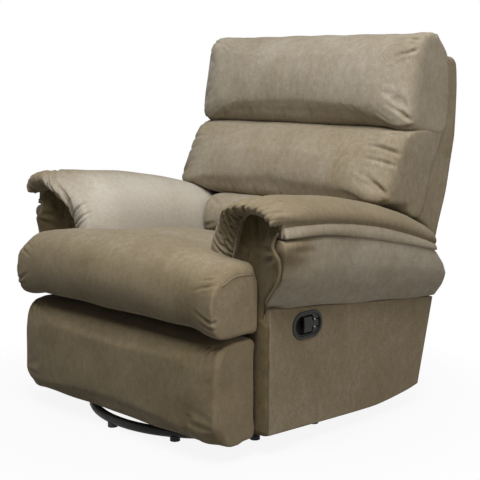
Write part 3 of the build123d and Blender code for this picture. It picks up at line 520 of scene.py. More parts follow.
HEAD_FOLDS = (
    ((0.398, 0.364, 0.774), (0.285, 0.334, 0.794), 0.0060, 0.0090),
    ((0.399, 0.360, 0.792), (0.335, 0.332, 0.838), 0.0055, 0.0065),
    ((0.397, 0.400, 1.006), (0.305, 0.370, 0.990), 0.0050, 0.0080),
    ((0.398, 0.430, 1.017), (0.325, 0.412, 1.022), 0.0046, 0.0075),
    ((0.399, 0.458, 1.014), (0.345, 0.450, 1.022), 0.0046, 0.0070),
    ((0.398, 0.385, 0.978), (0.345, 0.356, 0.955), 0.0050, 0.0050),
)
LUMBAR_HALF = 0.4050
LUMBAR_MIDDLE = (
    (0.310, 0.5470), (0.264, 0.5490), (0.242, 0.567), (0.236, 0.608), (0.246, 0.662), (0.271, 0.714),
    (0.309, 0.748), (0.354, 0.7640), (0.410, 0.7680), (0.4970, 0.7640), (0.4940, 0.752), (0.4840, 0.730),
    (0.4350, 0.626), (0.3930, 0.545),
)
LUMBAR_END = (
    (0.306, 0.5640), (0.254, 0.5720), (0.2260, 0.585), (0.2340, 0.616), (0.2540, 0.660), (0.2790, 0.708),
    (0.3080, 0.750), (0.352, 0.7640), (0.410, 0.7680), (0.5100, 0.7590), (0.5080, 0.752), (0.4980, 0.730),
    (0.4500, 0.626), (0.4070, 0.5240),
)
LUMBAR_FOLDS = (
    ((0.398, 0.312, 0.702), (0.295, 0.262, 0.740), 0.0062, 0.0100),
    ((0.398, 0.294, 0.672), (0.315, 0.252, 0.698), 0.0060, 0.0075),
    ((0.397, 0.348, 0.752), (0.300, 0.298, 0.742), 0.0056, 0.0085),
    ((0.397, 0.262, 0.600), (0.335, 0.243, 0.654), 0.0060, 0.0065),
    ((0.394, 0.262, 0.582), (0.290, 0.240, 0.602), 0.0058, 0.0055),
)
LOWER_HALF = 0.2270
LOWER_CORNER = 0.020
LOWER_MIDDLE = (
    (0.198, 0.4470), (0.178, 0.466), (0.174, 0.496), (0.186, 0.532), (0.224, 0.5530), (0.300, 0.5530),
    (0.360, 0.5450), (0.4040, 0.533), (0.3960, 0.490), (0.3860, 0.452), (0.300, 0.4450),
)
LOWER_FOLDS = (
    ((0.212, 0.205, 0.545), (0.150, 0.185, 0.525), 0.006, 0.0050),
    ((0.212, 0.190, 0.465), (0.160, 0.176, 0.480), 0.006, 0.0040),
)


def back_section(middle, end, half_width):
    def section(x):
        share = float(ease(0.50, 1.0, abs(x) / half_width))
        return smooth_curve(blended(middle, end, share), 72, closed=True)

    return section


def back_soft(outline):
    """The face of a back cushion rounds off at its ends; its rear stays boxed."""
    return 0.06 + 0.90 * ease(0.015, 0.100, read_off(SIDE_SEAM, outline[:, 1]) - outline[:, 0])


def backwards(outline):
    return np.tile((1.0, 0.0), (len(outline), 1))


def back_held(half_width):
    """A back cushion is held on the back's frame and at its two ends."""

    def held(points):
        return np.maximum(
            ease(-0.045, -0.015, points[:, 1] - back_face(points[:, 2])),
            ease(half_width - 0.012, half_width - 0.004, np.abs(points[:, 0])),
        )

    return held


def make_back_cushion(name, half_width, middle, end, corner, cap, seed):
    section = back_section(middle, end, half_width)
    cushion = loft(name, across(half_width, section, corner, back_soft, inward=backwards))
    even_out(cushion, COVER_GRID, 4)
    fill_up(cushion, 4.0, cap, back_held(half_width))
    finer(cushion)
    crumple(cushion, 0.15, 0.0013, seed)
    return cushion


def make_head_cushion():
    head = make_back_cushion("head_cover", HEAD_HALF, HEAD_MIDDLE, HEAD_END, BACK_CORNER, 0.008, 11)
    folds = mirrored(HEAD_FOLDS, 1) + mirrored(HEAD_FOLDS, -1, 0.5)
    for x in (-0.30, -0.19, -0.06, 0.05, 0.16, 0.27):
        folds.append(((x, 0.350, 0.772), (x + 0.012, 0.330, 0.815), 0.0080, 0.0025))
    pinch(head, folds)
    return head


def make_lumbar_cushion():
    lumbar = make_back_cushion("lumbar_cover", LUMBAR_HALF, LUMBAR_MIDDLE, LUMBAR_END, BACK_CORNER, 0.008, 17)
    folds = mirrored(LUMBAR_FOLDS, 1) + mirrored(LUMBAR_FOLDS, -1, 0.4)
    for x in (-0.16, -0.07, 0.03, 0.13):
        folds.append(((x, 0.252, 0.558), (x - 0.010, 0.238, 0.605), 0.0080, 0.0025))
    pinch(lumbar, folds)
    return lumbar


def make_lower_cushion():
    lower = make_back_cushion(
        "lower_back_cover", LOWER_HALF, LOWER_MIDDLE, LOWER_MIDDLE, LOWER_CORNER, 0.004, 23
    )
    pinch(lower, mirrored(LOWER_FOLDS, 1) + mirrored(LOWER_FOLDS, -1))
    return lower


SHELL_HALF = 0.4030
SHELL_CORNER = 0.009
SHELL_SECTION = (
    (0.3920, 0.532), (0.3960, 0.524), (0.446, 0.4900), (0.4800, 0.4545), (0.4870, 0.4530), (0.4920, 0.4600),
    (0.5200, 0.545), (0.5420, 0.616), (0.5580, 0.680), (0.5700, 0.746), (0.5745, 0.835), (0.5740, 0.908),
    (0.5690, 0.942), (0.5560, 0.958), (0.5360, 0.9630), (0.5180, 0.958), (0.5080, 0.943), (0.5130, 0.842),
    (0.4980, 0.762), (0.4830, 0.731), (0.4330, 0.626),
)
TAIL_HALF = 0.226
TAIL_CORNER = 0.006
TAIL_SECTION = (
    (0.4715, 0.2630), (0.4840, 0.2630), (0.4860, 0.275), (0.4885, 0.420), (0.4915, 0.470),
    (0.4935, 0.490), (0.4830, 0.492), (0.4785, 0.470), (0.4755, 0.420), (0.4715, 0.275),
)


def plain_section(points, count):
    """The same outline all across the chair."""
    outline = smooth_curve(points, count, closed=True)
    return lambda x: outline


def shell_soft(outline):
    """The outer back rounds off towards the rear and stays square where it meets the cushions."""
    return ease(0.004, 0.030, outline[:, 0] - read_off(SIDE_SEAM, outline[:, 1]))


def make_outer_back():
    shell_rows = across(SHELL_HALF, plain_section(SHELL_SECTION, 90), SHELL_CORNER, shell_soft, 25)
    tail_rows = across(TAIL_HALF, plain_section(TAIL_SECTION, 48), TAIL_CORNER, evenly, 17)
    shell = loft("outer_back_cover", shell_rows)
    tail = loft("outer_back_tail", tail_rows)
    even_out(shell, COVER_GRID, 2)
    crumple(shell, 0.20, 0.0008, 29)
    return shell, tail


def make_rear_panel():
    """The rear cover below the back, notched in the middle for the back's tail."""
    low, high, notch = 0.0505, 0.2955, 0.2345
    slope = Vector((0, 0.061, 0.244)).normalized()
    rise, cut = (high - low) / slope.z, (notch - low) / slope.z
    outline = [
        (-0.3935, 0), (0.3935, 0), (0.3935, rise), (0.2325, rise), (0.2325, cut + 0.012), (0.2205, cut),
        (-0.2205, cut), (-0.2325, cut + 0.012), (-0.2325, rise), (-0.3935, rise),
    ]
    across_x = Vector((1, 0, 0))
    out = across_x.cross(slope)
    middle = Vector((0, 0.4010, low))
    place = Matrix((across_x, slope, out)).transposed().to_4x4()
    place.translation = middle
    return board("rear_cover", [outline[::-1]], 0.013, 0.003, place)


# Arms

ARM_LENGTH = 0.636
PAD_STEPS = 181
PAD_NOSE_Y = -0.225
PAD_BORDER_Y = -0.2185
PAD_TAIL = (0.449, 0.4465, 0.443, 0.438, 0.432, 0.424, 0.414, 0.402, 0.388, 0.370)
PAD_HEIGHT = (
    (-0.30, 0.088), (-0.156, 0.086), (0.052, 0.083), (0.215, 0.078), (0.330, 0.071), (0.390, 0.061),
    (0.415, 0.051), (0.432, 0.038), (0.443, 0.022), (0.449, 0.006),
)
BAND_RISE = ((-0.20, 0.021), (0.011, 0.018), (0.171, 0.016), (0.279, 0.011), (0.363, 0.006), (0.449, 0.002))
BAND_DROP = ((-0.20, 0.002), (-0.057, 0.005), (0.065, 0.013), (0.202, 0.017), (0.343, 0.014), (0.449, 0.006))


def along_arm(outline, y):
    """The points of an upright outline at a place along the arm."""
    return np.c_[outline[:, 0], np.broadcast_to(y, len(outline)), outline[:, 1]]


def roll_top(y):
    share = (np.maximum(y, ARM_FRONT) - ARM_FRONT) / ARM_LENGTH
    return 0.545 - 0.004 * share - 0.100 * share**2


def seam_height(y):
    return 0.343 - 0.1 * y


def band_top(y):
    """Upper edge of the boxed strip under the pad's lip."""
    return roll_top(y) + read_off(BAND_RISE, y)


def band_bottom(y):
    return roll_top(y) - read_off(BAND_DROP, y)


PAD_FRONT = (
    (0.2380, 0.478), (0.2420, 0.507), (0.2540, 0.538), (0.2760, 0.569), (0.3080, 0.598), (0.3460, 0.620),
    (0.3850, 0.632), (0.4180, 0.629), (0.4440, 0.616), (0.4585, 0.602), (0.4625, 0.590), (0.4560, 0.578),
)


def pad_section(y, puff):
    """Upper surface of the pad at one place along the arm, from its inner hem over the crown to its lip."""
    rest, height = float(roll_top(y)), puff * float(read_off(PAD_HEIGHT, y))
    hem = min(0.478 - 0.17 * (max(y, -0.29) + 0.29), rest - 0.012)
    lip = float(band_top(y))
    crown = rest + height
    points = np.array([
        (0.2320, hem), (0.2290, hem + 0.35 * (rest - hem)), (0.2330, rest - 0.010),
        (0.2500, rest + 0.36 * height), (0.2840, rest + 0.70 * height), (0.3260, rest + 0.92 * height),
        (0.3700, crown), (0.4110, rest + 0.95 * height), (0.4400, rest + 0.80 * height),
        (0.4580, lip + 0.52 * (crown - lip)), (0.4630, lip + 0.26 * (crown - lip)),
        (0.4570, lip + 0.02 * (crown - lip)),
    ])
    front = np.array(PAD_FRONT)
    front[:, 1] += (puff - 1) * 1.2 * np.maximum(front[:, 1] - 0.53, 0)
    curve = smooth_curve(blended(points, front, float(1 - ease(-0.222, -0.12, y))), PAD_STEPS)
    narrow = 0.62 * float(ease(0.385, 0.449, y)) ** 2
    curve[:, 0] = 0.400 + (curve[:, 0] - 0.400) * (1 - narrow)
    return curve


PAD_ARCH = (
    (0.3040, 0.4640), (0.3130, 0.4950), (0.3190, 0.5200), (0.3260, 0.5460), (0.3350, 0.5680),
    (0.3490, 0.5850), (0.3710, 0.5940), (0.3960, 0.5945), (0.4190, 0.5900), (0.4370, 0.5830),
    (0.4510, 0.5760),
)
# Two sets of gathers: first place, spacing, tilt, and the shortest and longest run
GATHERS = ((0.012, 1.0, 1.0, 0.110, 0.200), (0.020, 1.4, 0.2, 0.075, 0.125))
GATHER_SLANT = ((0.0, 1.7), (0.10, 1.3), (0.17, 0.6), (0.24, 0.1), (0.31, -0.2), (0.40, -0.5))
GATHER_FADE = ((0.20, 1.0), (0.30, 0.45))


def pad_base(curve, y):
    """Where the pad lies on the arm roll and the inner arm panel."""
    rest = float(roll_top(y)) + 0.001
    return np.c_[np.clip(curve[:, 0], 0.2395, 0.450), np.minimum(curve[:, 1], rest)]


def pad_sheets(arch, puff):
    """Rows of points over a pad and under it, from its tail to its front border."""
    reach = np.linspace(0, 1, PAD_STEPS)
    nose = 0.018 + 0.050 * np.exp(-(((reach - 0.58) / 0.24) ** 2))
    tops, bases = [], []
    for y in np.r_[PAD_TAIL, np.linspace(0.35, -0.09, 18), np.linspace(-0.095, PAD_NOSE_Y, 46)]:
        curve = pad_section(y, puff)
        lie = pad_base(curve, y) if y > ARM_FRONT else arch
        tops.append(along_arm(curve, y))
        bases.append(along_arm(lie, max(y, -0.214)))
    last = pad_section(PAD_NOSE_Y, puff)
    for turn in np.radians(np.arange(4, 181, 4)):
        curve = (last + arch) / 2 + (last - arch) / 2 * math.cos(turn)
        back = PAD_NOSE_Y + (PAD_BORDER_Y - PAD_NOSE_Y) * (1 - math.cos(turn)) / 2
        tops.append(along_arm(curve, back - nose * math.sin(turn)))
        bases.append(along_arm(arch + (0, 0.002), -0.2145))
    return np.array(tops), np.array(bases)


def gathers(tops, border, seed):
    """How far the gathers, which run back from the front border, move each point of a pad's top."""
    draw = np.random.default_rng(seed)
    steps = np.linalg.norm(np.diff(tops, axis=0), axis=2)
    behind = np.vstack([np.cumsum(steps[::-1], axis=0)[::-1], np.zeros((1, PAD_STEPS))])
    run = np.r_[0, np.cumsum(np.linalg.norm(np.diff(border, axis=0), axis=1))]
    lift = np.zeros(tops.shape[:2])
    for place, spacing, tilt, shortest, longest in GATHERS:
        while place < run[-1] - 0.010:
            width = draw.uniform(0.0026, 0.0044)
            depth = draw.uniform(0.0045, 0.0095) * read_off(GATHER_FADE, place)
            length = draw.uniform(shortest, longest)
            slant = tilt * read_off(GATHER_SLANT, place) + draw.uniform(-0.12, 0.12)
            off = np.abs(run[None, :] - place - slant * behind) / (width * math.sqrt(1 + slant**2))
            dip = np.exp(-(off**1.5)) - 0.20 * np.exp(-((off - 2.4) ** 2) / 1.5)
            lift -= depth * dip * np.clip(1 - behind / length, 0, 1) ** 0.8 * ease(-0.004, 0.012, behind)
            place += spacing * draw.uniform(0.011, 0.021) * (1 + 0.5 * abs(slant))
    return lift


def make_arm_pad(side, name, seed, puff):
    arch = smooth_curve(PAD_ARCH, PAD_STEPS)
    tops, bases = pad_sheets(arch, puff)
    pad = two_sheets(f"arm_pad_{name}", tops * (side, 1, 1), bases * (side, 1, 1))
    lift = gathers(tops, pad_section(PAD_NOSE_Y, puff), seed).reshape(-1, 1)
    points, normals = points_of(pad.data), normals_of(pad.data)
    points[: len(lift)] += normals[: len(lift)] * lift
    put_points(pad.data, points)
    crumple(pad, 0.12, 0.0010, seed + 1)
    border = along_arm(arch[::3], PAD_BORDER_Y - 0.002) * (side, 1, 1)
    return pad, tube(f"arm_pad_welt_{name}", border, 0.0036)


def make_pad_band(side, name):
    """The plain boxed strip between the pad's lip and the arm roll."""
    rows = []
    for y in np.r_[np.linspace(-0.196, 0.430, 60), 0.438, 0.444, 0.448]:
        top, low = float(band_top(y)) + 0.006, float(band_bottom(y))
        tall = top - low
        back = 0.005 * float(1 - ease(-0.200, -0.140, y)) + 0.044 * float(ease(0.385, 0.449, y)) ** 2
        loop = smooth_curve(
            [
                (0.4340 - back, top - 0.10 * tall), (0.4500 - back, top), (0.4600 - back, top - 0.15 * tall),
                (0.4655 - back, top - 0.50 * tall), (0.4665 - back, low + 0.18 * tall), (0.4620 - back, low),
                (0.4340 - back, low + 0.05 * tall),
            ],
            32, closed=True,
        )
        rows.append(along_arm(loop, y) * (side, 1, 1))
    return loft(f"arm_pad_band_{name}", rows)


ROLL_SHAPE = (
    (0.3980, 0.000), (0.4130, 0.012), (0.4270, 0.120), (0.4480, 0.310), (0.4610, 0.520), (0.4635, 0.680),
    (0.4625, 0.840), (0.4600, 0.935), (0.4430, 0.990), (0.3600, 1.000), (0.2700, 0.990), (0.2560, 0.900),
    (0.2560, 0.500), (0.2560, 0.050), (0.2700, 0.000), (0.3300, 0.000),
)
ROLL_MIDDLE = 0.355
ROLL_END = (
    (0.0, 0.487), (0.1, 0.486), (0.3, 0.484), (0.56, 0.480), (0.75, 0.462), (0.95, 0.424), (1.0, 0.414),
)
ROLL_FRONT_TUCK = (
    (0.00, 0.018), (0.12, 0.022), (0.29, 0.020), (0.46, 0.004), (0.61, 0.001), (0.75, -0.001), (0.86, -0.002),
    (0.95, -0.002), (1.00, 0.002),
)
ROLL_FOLDS = (
    ((0.402, -0.190, 0.352), (0.425, -0.120, 0.372), 0.008, 0.006),
    ((0.462, -0.170, 0.512), (0.462, -0.105, 0.500), 0.008, 0.003),
)
PIPING_STEPS = 60
SCROLL = (
    (0.4470, 0.557), (0.4360, 0.543), (0.4320, 0.524), (0.4390, 0.510), (0.4490, 0.496), (0.4530, 0.473),
    (0.4480, 0.446), (0.4270, 0.411), (0.4080, 0.383), (0.3970, 0.358),
)


def make_arm_roll(side, name, seed):
    rows = []
    loop = smooth_curve(ROLL_SHAPE, 72, closed=True)
    ends = read_off(ROLL_END, loop[:, 1])
    for share in np.r_[0, 0.006, 0.02, np.linspace(0.05, 0.93, 40), 0.955, 0.975, 0.99, 1.0]:
        y = ARM_FRONT + share * (ends - ARM_FRONT)
        low, high = seam_height(y) - 0.0020, roll_top(y) - 0.001
        tuck = read_off(ROLL_FRONT_TUCK, loop[:, 1]) * (1 - ease(-0.20, -0.12, y))
        round_off = 0.016 * max(0.0, (share - 0.93) / 0.07) ** 2 + 0.005 * max(0.0, 1 - share / 0.02) ** 2
        x = loop[:, 0] - tuck * (loop[:, 0] > 0.38)
        z = low + loop[:, 1] * (high - low)
        x = ROLL_MIDDLE + (x - ROLL_MIDDLE) * (1 - round_off / 0.11)
        rows.append(np.c_[side * x, y, z])
    roll = loft(f"arm_roll_cover_{name}", rows)
    finer(roll)
    crumple(roll, 0.16, 0.0014, seed)
    pinch(roll, mirrored(ROLL_FOLDS, side))
    return roll


def make_front_piping(side, name):
    """The piping down the outer edge of the arm's front; its lower end turns back under the roll."""
    scroll = smooth_curve(SCROLL, PIPING_STEPS) - (0.001, 0)
    turn_back = 0.011 * ease(PIPING_STEPS - 10, PIPING_STEPS - 1, np.arange(PIPING_STEPS))
    path = along_arm(scroll, ARM_FRONT - 0.0065 + turn_back) * (side, 1, 1)
    return tube(f"arm_front_piping_{name}", path, 0.0034)


FACING_OUTER = (
    (0.050, 0.4105), (0.328, 0.4105), (0.336, 0.393), (0.360, 0.396), (0.385, 0.405), (0.415, 0.426),
    (0.445, 0.447), (0.473, 0.453), (0.496, 0.449), (0.510, 0.439), (0.524, 0.432), (0.543, 0.436),
    (0.557, 0.445), (0.578, 0.436), (0.594, 0.412), (0.600, 0.396),
)
FACING_INNER = (
    (0.050, 0.3450), (0.328, 0.3450), (0.338, 0.256), (0.470, 0.256), (0.500, 0.2600), (0.528, 0.2780),
    (0.560, 0.3050), (0.585, 0.3400), (0.600, 0.3720),
)
FACING_COLUMNS = 64
FACING_FACE = ARM_FRONT - 0.012
FACING_FOLDS = (
    ((0.436, FACING_FACE, 0.516), (0.350, FACING_FACE, 0.508), 0.0060, 0.0085),
    ((0.372, FACING_FACE, 0.592), (0.386, FACING_FACE, 0.512), 0.0060, 0.0100),
    ((0.322, FACING_FACE, 0.520), (0.366, FACING_FACE, 0.498), 0.0055, 0.0075),
    ((0.352, FACING_FACE, 0.500), (0.338, FACING_FACE, 0.430), 0.0070, 0.0070),
    ((0.412, FACING_FACE, 0.575), (0.400, FACING_FACE, 0.518), 0.0055, 0.0070),
    ((0.440, FACING_FACE, 0.500), (0.392, FACING_FACE, 0.470), 0.0060, 0.0050),
)


def make_arm_facing(side, name, seed):
    """Padded front of the arm, with its cover gathered under the pad's arch."""
    share = np.linspace(0, 1, FACING_COLUMNS)
    fronts, backs = [], []
    for z in np.r_[np.linspace(0.051, 0.330, 24), np.linspace(0.334, 0.5995, 60)]:
        inner, outer = read_off(FACING_INNER, z), read_off(FACING_OUTER, z)
        rim = np.minimum(share, 1 - share) * (outer - inner)
        swell = 0.0055 * np.sqrt(np.clip(rim / 0.012, 0, 1))
        sunk = 0.0048 * float(ease(0.50, 0.56, z))
        level = np.c_[inner + (outer - inner) * share, np.full(FACING_COLUMNS, z)]
        fronts.append(along_arm(level, ARM_FRONT - 0.0065 - swell + sunk) * (side, 1, 1))
        backs.append(along_arm(level, ARM_FRONT - 0.0006) * (side, 1, 1))
    facing = two_sheets(f"arm_front_cover_{name}", np.array(fronts), np.array(backs))
    pinch(facing, mirrored(FACING_FOLDS, side))
    crumple(facing, 0.06, 0.0008, seed)
    return facing


def front_share(points):
    """One at the front of an arm, fading to nought behind it."""
    return 1 - ease(-0.205, -0.110, points[:, 1])


def swell_front(piece):
    """Swells the outer part of an arm's front outwards and forwards, then gives it a belly under the pad."""
    points = points_of(piece.data)
    side = np.sign(points[:, 0])
    bulge = ease(0.385, 0.455, np.abs(points[:, 0])) * ease(0.330, 0.400, points[:, 2])
    points[:, 0] += side * 0.022 * bulge * (1 - ease(-0.200, 0.100, points[:, 1]))
    points[:, 1] -= 0.026 * bulge * front_share(points)
    belly = np.exp(-(((points[:, 2] - 0.518) / 0.030) ** 2)) * ease(0.385, 0.440, np.abs(points[:, 0]))
    belly *= front_share(points)
    points[:, 0] += side * 0.008 * belly
    points[:, 1] -= 0.012 * belly
    put_points(piece.data, points)


# Flat covered boards


def board(name, outlines, thickness, edge, place):
    """Flat board with rounded edges; the outlines are loops of points in its own plane."""
    curve = bpy.data.curves.new(name, "CURVE")
    curve.dimensions = "2D"
    curve.fill_mode = "BOTH"
    curve.extrude = thickness / 2 - edge
    curve.bevel_depth = edge
    curve.bevel_resolution = 3
    curve.offset = -edge
    for loop in outlines:
        spline = curve.splines.new("POLY")
        spline.points.add(len(loop) - 1)
        for point, (a, b) in zip(spline.points, loop):
            point.co = (a, b, 0, 1)
        spline.use_cyclic_u = True
    shaped = placed(name, curve)
    view = bpy.context.evaluated_depsgraph_get()
    mesh = bpy.data.meshes.new_from_object(shaped.evaluated_get(view))
    bpy.data.objects.remove(shaped)
    mesh.transform(place)
    piece = placed(name, mesh)
    outward(piece)
    crisp = piece.modifiers.new("crisp", "EDGE_SPLIT")
    crisp.split_angle = math.radians(40)
    settle(piece)
    return piece


def oval(length, height, count=40):
    """Oval of two half rounds, clockwise."""
    half, radius = (length - height) / 2, height / 2
    points = []
    for k in range(count):
        angle = -2 * math.pi * k / count
        shift = half if math.cos(angle) >= 0 else -half
        points.append((shift + radius * math.cos(angle), radius * math.sin(angle)))
    return points


PANEL_HEM = (
    (0.0, PANEL_BOTTOM), (0.19, 0.045), (0.38, 0.040), (0.58, 0.0355), (0.72, 0.0350), (0.91, 0.046),
    (1.0, 0.056),
)


def make_side_panel(side, name):
    front, rear = ARM_FRONT + 0.001, 0.408
    outline = [(front + share * (rear - front), z) for share, z in smooth_curve(PANEL_HEM, 24)]
    outline += [(0.469, float(seam_height(0.469))), (front, float(seam_height(ARM_FRONT)))]
    loops = [outline]
    if side > 0:
        loops.append([(HANDLE_Y + a, HANDLE_Z + b) for a, b in oval(0.100, 0.060)])
    middle = side * (SIDE_OUTER - 0.009)
    place = Matrix(((0, 0, 1, middle), (1, 0, 0, 0), (0, 1, 0, 0), (0, 0, 0, 1)))
    return board(f"side_cover_{name}", loops, 0.018, 0.004, place)


# Release handle


def key_shape(front, rear, half_height, tab_rear, tab_half, corner):
    """A plate with a tab behind it: the outline of the release paddle and of the opening round it."""
    points = [(front, -half_height), (rear - corner, -half_height)]
    points += [
        (rear - corner + corner * math.sin(a), -half_height + corner - corner * math.cos(a))
        for a in np.radians((30, 60, 90))
    ]
    points += [(rear, -tab_half), (tab_rear, -tab_half), (tab_rear, tab_half), (rear, tab_half)]
    points += [
        (rear - corner + corner * math.cos(a), half_height - corner + corner * math.sin(a))
        for a in np.radians((0, 30, 60, 90))
    ]
    points.append((front, half_height))
    return points


def on_side(x):
    """Places a flat outline on the sitter's left side of the chair, with its middle at the handle."""
    return Matrix(((0, 0, 1, x), (1, 0, 0, HANDLE_Y), (0, 1, 0, HANDLE_Z), (0, 0, 0, 1)))


def make_handle():
    """The paddle with its tab, and the land of the cup that is cut out round it."""
    front_edge = [(-0.0140, 0.0195), (-0.0122, 0.0100), (-0.0117, 0.0), (-0.0122, -0.0100)]
    plate = board(
        "release_paddle",
        [key_shape(-0.0140, 0.0165, 0.0195, 0.0405, 0.0080, 0.0060)[:-1] + front_edge],
        0.0050, 0.0010, on_side(0.4115),
    )
    barrel = tube(
        "paddle_barrel",
        [(0.4095, HANDLE_Y + 0.030, HANDLE_Z + rise) for rise in np.linspace(-0.0075, 0.0075, 5)], 0.0042, 16,
    )
    opening = key_shape(-0.0200, 0.0205, 0.0235, 0.0435, 0.0110, 0.0070)[:-1]
    turns = np.radians(np.arange(90, 271, 12))
    opening += [(-0.0200 + 0.0235 * math.cos(a), 0.0235 * math.sin(a)) for a in turns]
    land = board("handle_land", [oval(0.0935, 0.0535), opening], 0.0040, 0.0008, on_side(0.4110))
    return joined("release_paddle", plate, barrel), land


# Materials


class Wiring:
    """Places and links the nodes of one tree."""

    def __init__(self, tree):
        self.tree = tree

    def add(self, kind, links=None, **settings):
        made = self.tree.nodes.new(kind)
        for key, value in settings.items():
            setattr(made, key, value)
        for socket, source in (links or {}).items():
            self.feed(made.inputs[socket], source)
        return made

    def feed(self, socket, source):
        """Links a source to a socket, or sets the socket's own value."""
        if isinstance(source, bpy.types.NodeSocket):
            self.tree.links.new(source, socket)
        else:
            socket.default_value = source

    def place(self):
        return self.add("ShaderNodeTexCoord").outputs["Object"]

    def noise(self, at, scale, detail, roughness=0.5, distortion=0.0):
        links = {"Vector": at, "Scale": scale, "Detail": detail, "Roughness": roughness}
        return self.add("ShaderNodeTexNoise", {**links, "Distortion": distortion}).outputs["Fac"]

    def math(self, operation, *values):
        return self.add("ShaderNodeMath", dict(enumerate(values)), operation=operation).outputs[0]

    def spread(self, value, low, high, new_low=0.0, new_high=1.0):
        """Stretches one range of values on to another."""
        links = {"Value": value, "From Min": low, "From Max": high, "To Min": new_low, "To Max": new_high}
        return self.add("ShaderNodeMapRange", links).outputs[0]

    def blend(self, share, first, second, way="MIX"):
        """Mixes two colours."""
        links = {"Factor": share, 6: first, 7: second}
        return self.add("ShaderNodeMix", links, data_type="RGBA", blend_type=way).outputs[2]


COLOUR, FLOAT = "NodeSocketColor", "NodeSocketFloat"


def new_group(name, inputs):
    """An effect with its own inputs, which gives a colour, a roughness and a height."""
    tree = bpy.data.node_groups.new(name, "ShaderNodeTree")
    for label, kind, value in inputs:
        socket = tree.interface.new_socket(label, in_out="INPUT", socket_type=kind)
        socket.default_value = value
    for label, kind in (("Color", COLOUR), ("Roughness", FLOAT), ("Height", FLOAT)):
        tree.interface.new_socket(label, in_out="OUTPUT", socket_type=kind)
    return Wiring(tree), tree.nodes.new("NodeGroupInput").outputs


def make_nap_group():
    """Suede nap: soft light and dark patches where the pile lies differently, and a fine fibre grain.

    A vertex value on each piece paints light and shade into the colour: above nought it moves towards the
    pale colour, below nought towards the dark one.
    """
    wire, given = new_group(
        "nap_and_painted_light",
        [
            ("Pile", COLOUR, (0.3, 0.25, 0.18, 1)), ("Pale Nap And Sheen", COLOUR, (0.4, 0.34, 0.26, 1)),
            ("Dark Nap And Shade", COLOUR, (0.2, 0.16, 0.11, 1)), ("Patch Scale", FLOAT, 7.0),
            ("Fibre Scale", FLOAT, 520.0),
        ],
    )
    at = wire.place()
    patch = wire.noise(at, given["Patch Scale"], 4.0, 0.55, 0.5)
    stroke_at = wire.add("ShaderNodeMapping", {"Vector": at, "Scale": (64.0, 64.0, 44.0)}).outputs[0]
    stroke = wire.noise(stroke_at, 1.0, 4.0, 0.65)
    fibre = wire.noise(at, given["Fibre Scale"], 3.0, 0.7)
    # Painted light and shade: the vertex value makes the colour paler or darker, on top of the nap's own
    # random patches.
    way = wire.add("ShaderNodeAttribute", attribute_name="painted_light_and_tone").outputs["Fac"]
    cloudy = wire.math("ADD", patch, stroke)
    calm = wire.math("MULTIPLY_ADD", cloudy, 0.42, 0.58)
    lie = wire.math("MULTIPLY_ADD", way, 0.6, calm)
    paler = wire.blend(wire.spread(lie, 1.0, 1.6), given["Pile"], given["Pale Nap And Sheen"])
    shaded = wire.blend(wire.spread(lie, 1.0, 0.4), paler, given["Dark Nap And Shade"])
    grain = wire.blend(1.0, shaded, wire.spread(fibre, 0.25, 0.75, 0.78, 1.22), "MULTIPLY")
    rough = wire.spread(cloudy, 0.7, 1.3, 0.94, 0.80)
    height = wire.math("ADD", fibre, wire.math("MULTIPLY", stroke, 0.5))
    wire.add("NodeGroupOutput", {"Color": grain, "Roughness": rough, "Height": height})
    return wire.tree


def make_speckle_group():
    """Fine surface grain of coated, moulded and plated parts, with a little uneven tone."""
    wire, given = new_group(
        "fine_speckle",
        [
            ("Tone", COLOUR, (0.05, 0.05, 0.05, 1)), ("Worn", COLOUR, (0.1, 0.1, 0.1, 1)),
            ("Grain Scale", FLOAT, 900.0), ("Smooth", FLOAT, 0.4), ("Rough", FLOAT, 0.6),
        ],
    )
    at = wire.place()
    cloud = wire.noise(at, 26.0, 5.0)
    grain = wire.noise(at, given["Grain Scale"], 2.0)
    tone = wire.blend(wire.spread(cloud, 0.50, 0.75, 0.0, 0.7), given["Tone"], given["Worn"])
    rough = wire.spread(cloud, 0.3, 0.7, given["Smooth"], given["Rough"])
    wire.add("NodeGroupOutput", {"Color": tone, "Roughness": rough, "Height": grain})
    return wire.tree


def emptied(owner):
    """The wiring of a material or a world, with nothing in it yet."""
    owner.use_nodes = True
    owner.node_tree.nodes.clear()
    return Wiring(owner.node_tree)


def new_finish(name):
    finish = bpy.data.materials.new(name)
    wire = emptied(finish)
    shader = wire.add("ShaderNodeBsdfPrincipled")
    wire.add("ShaderNodeOutputMaterial", {"Surface": shader.outputs[0]})
    return finish, wire, shader.inputs


def emboss(wire, shader, strength, depth, height):
    """Gives a finish its fine relief."""
    relief = wire.add("ShaderNodeBump", {"Strength": strength, "Distance": depth, "Height": height})
    wire.feed(shader["Normal"], relief.outputs[0])


def dressed(wire, shader, group, values, bump, depth):
    """Places a group in a material and feeds its colour, roughness and height to the shader."""
    effect = wire.add("ShaderNodeGroup", values, node_tree=group).outputs
    wire.feed(shader["Base Color"], effect["Color"])
    wire.feed(shader["Roughness"], effect["Roughness"])
    emboss(wire, shader, bump, depth, effect["Height"])


nap = make_nap_group()
speckle = make_speckle_group()


def make_suede():
    finish, wire, shader = new_finish("taupe_suede")
    # The pale colour is partly a painted sheen and the dark colour partly painted shade; both also give the
    # nap's own patches.
    values = {
        "Pile": (0.258, 0.209, 0.134, 1), "Pale Nap And Sheen": (0.495, 0.455, 0.392, 1),
        "Dark Nap And Shade": (0.118, 0.087, 0.040, 1), "Patch Scale": 7.0, "Fibre Scale": 300.0,
    }
    dressed(wire, shader, nap, values, 0.35, 0.0012)
    shader["Sheen Weight"].default_value = 0.16
    shader["Sheen Roughness"].default_value = 0.45
    shader["Sheen Tint"].default_value = (0.96, 0.92, 0.85, 1)
    shader["Specular IOR Level"].default_value = 0.15
    return finish


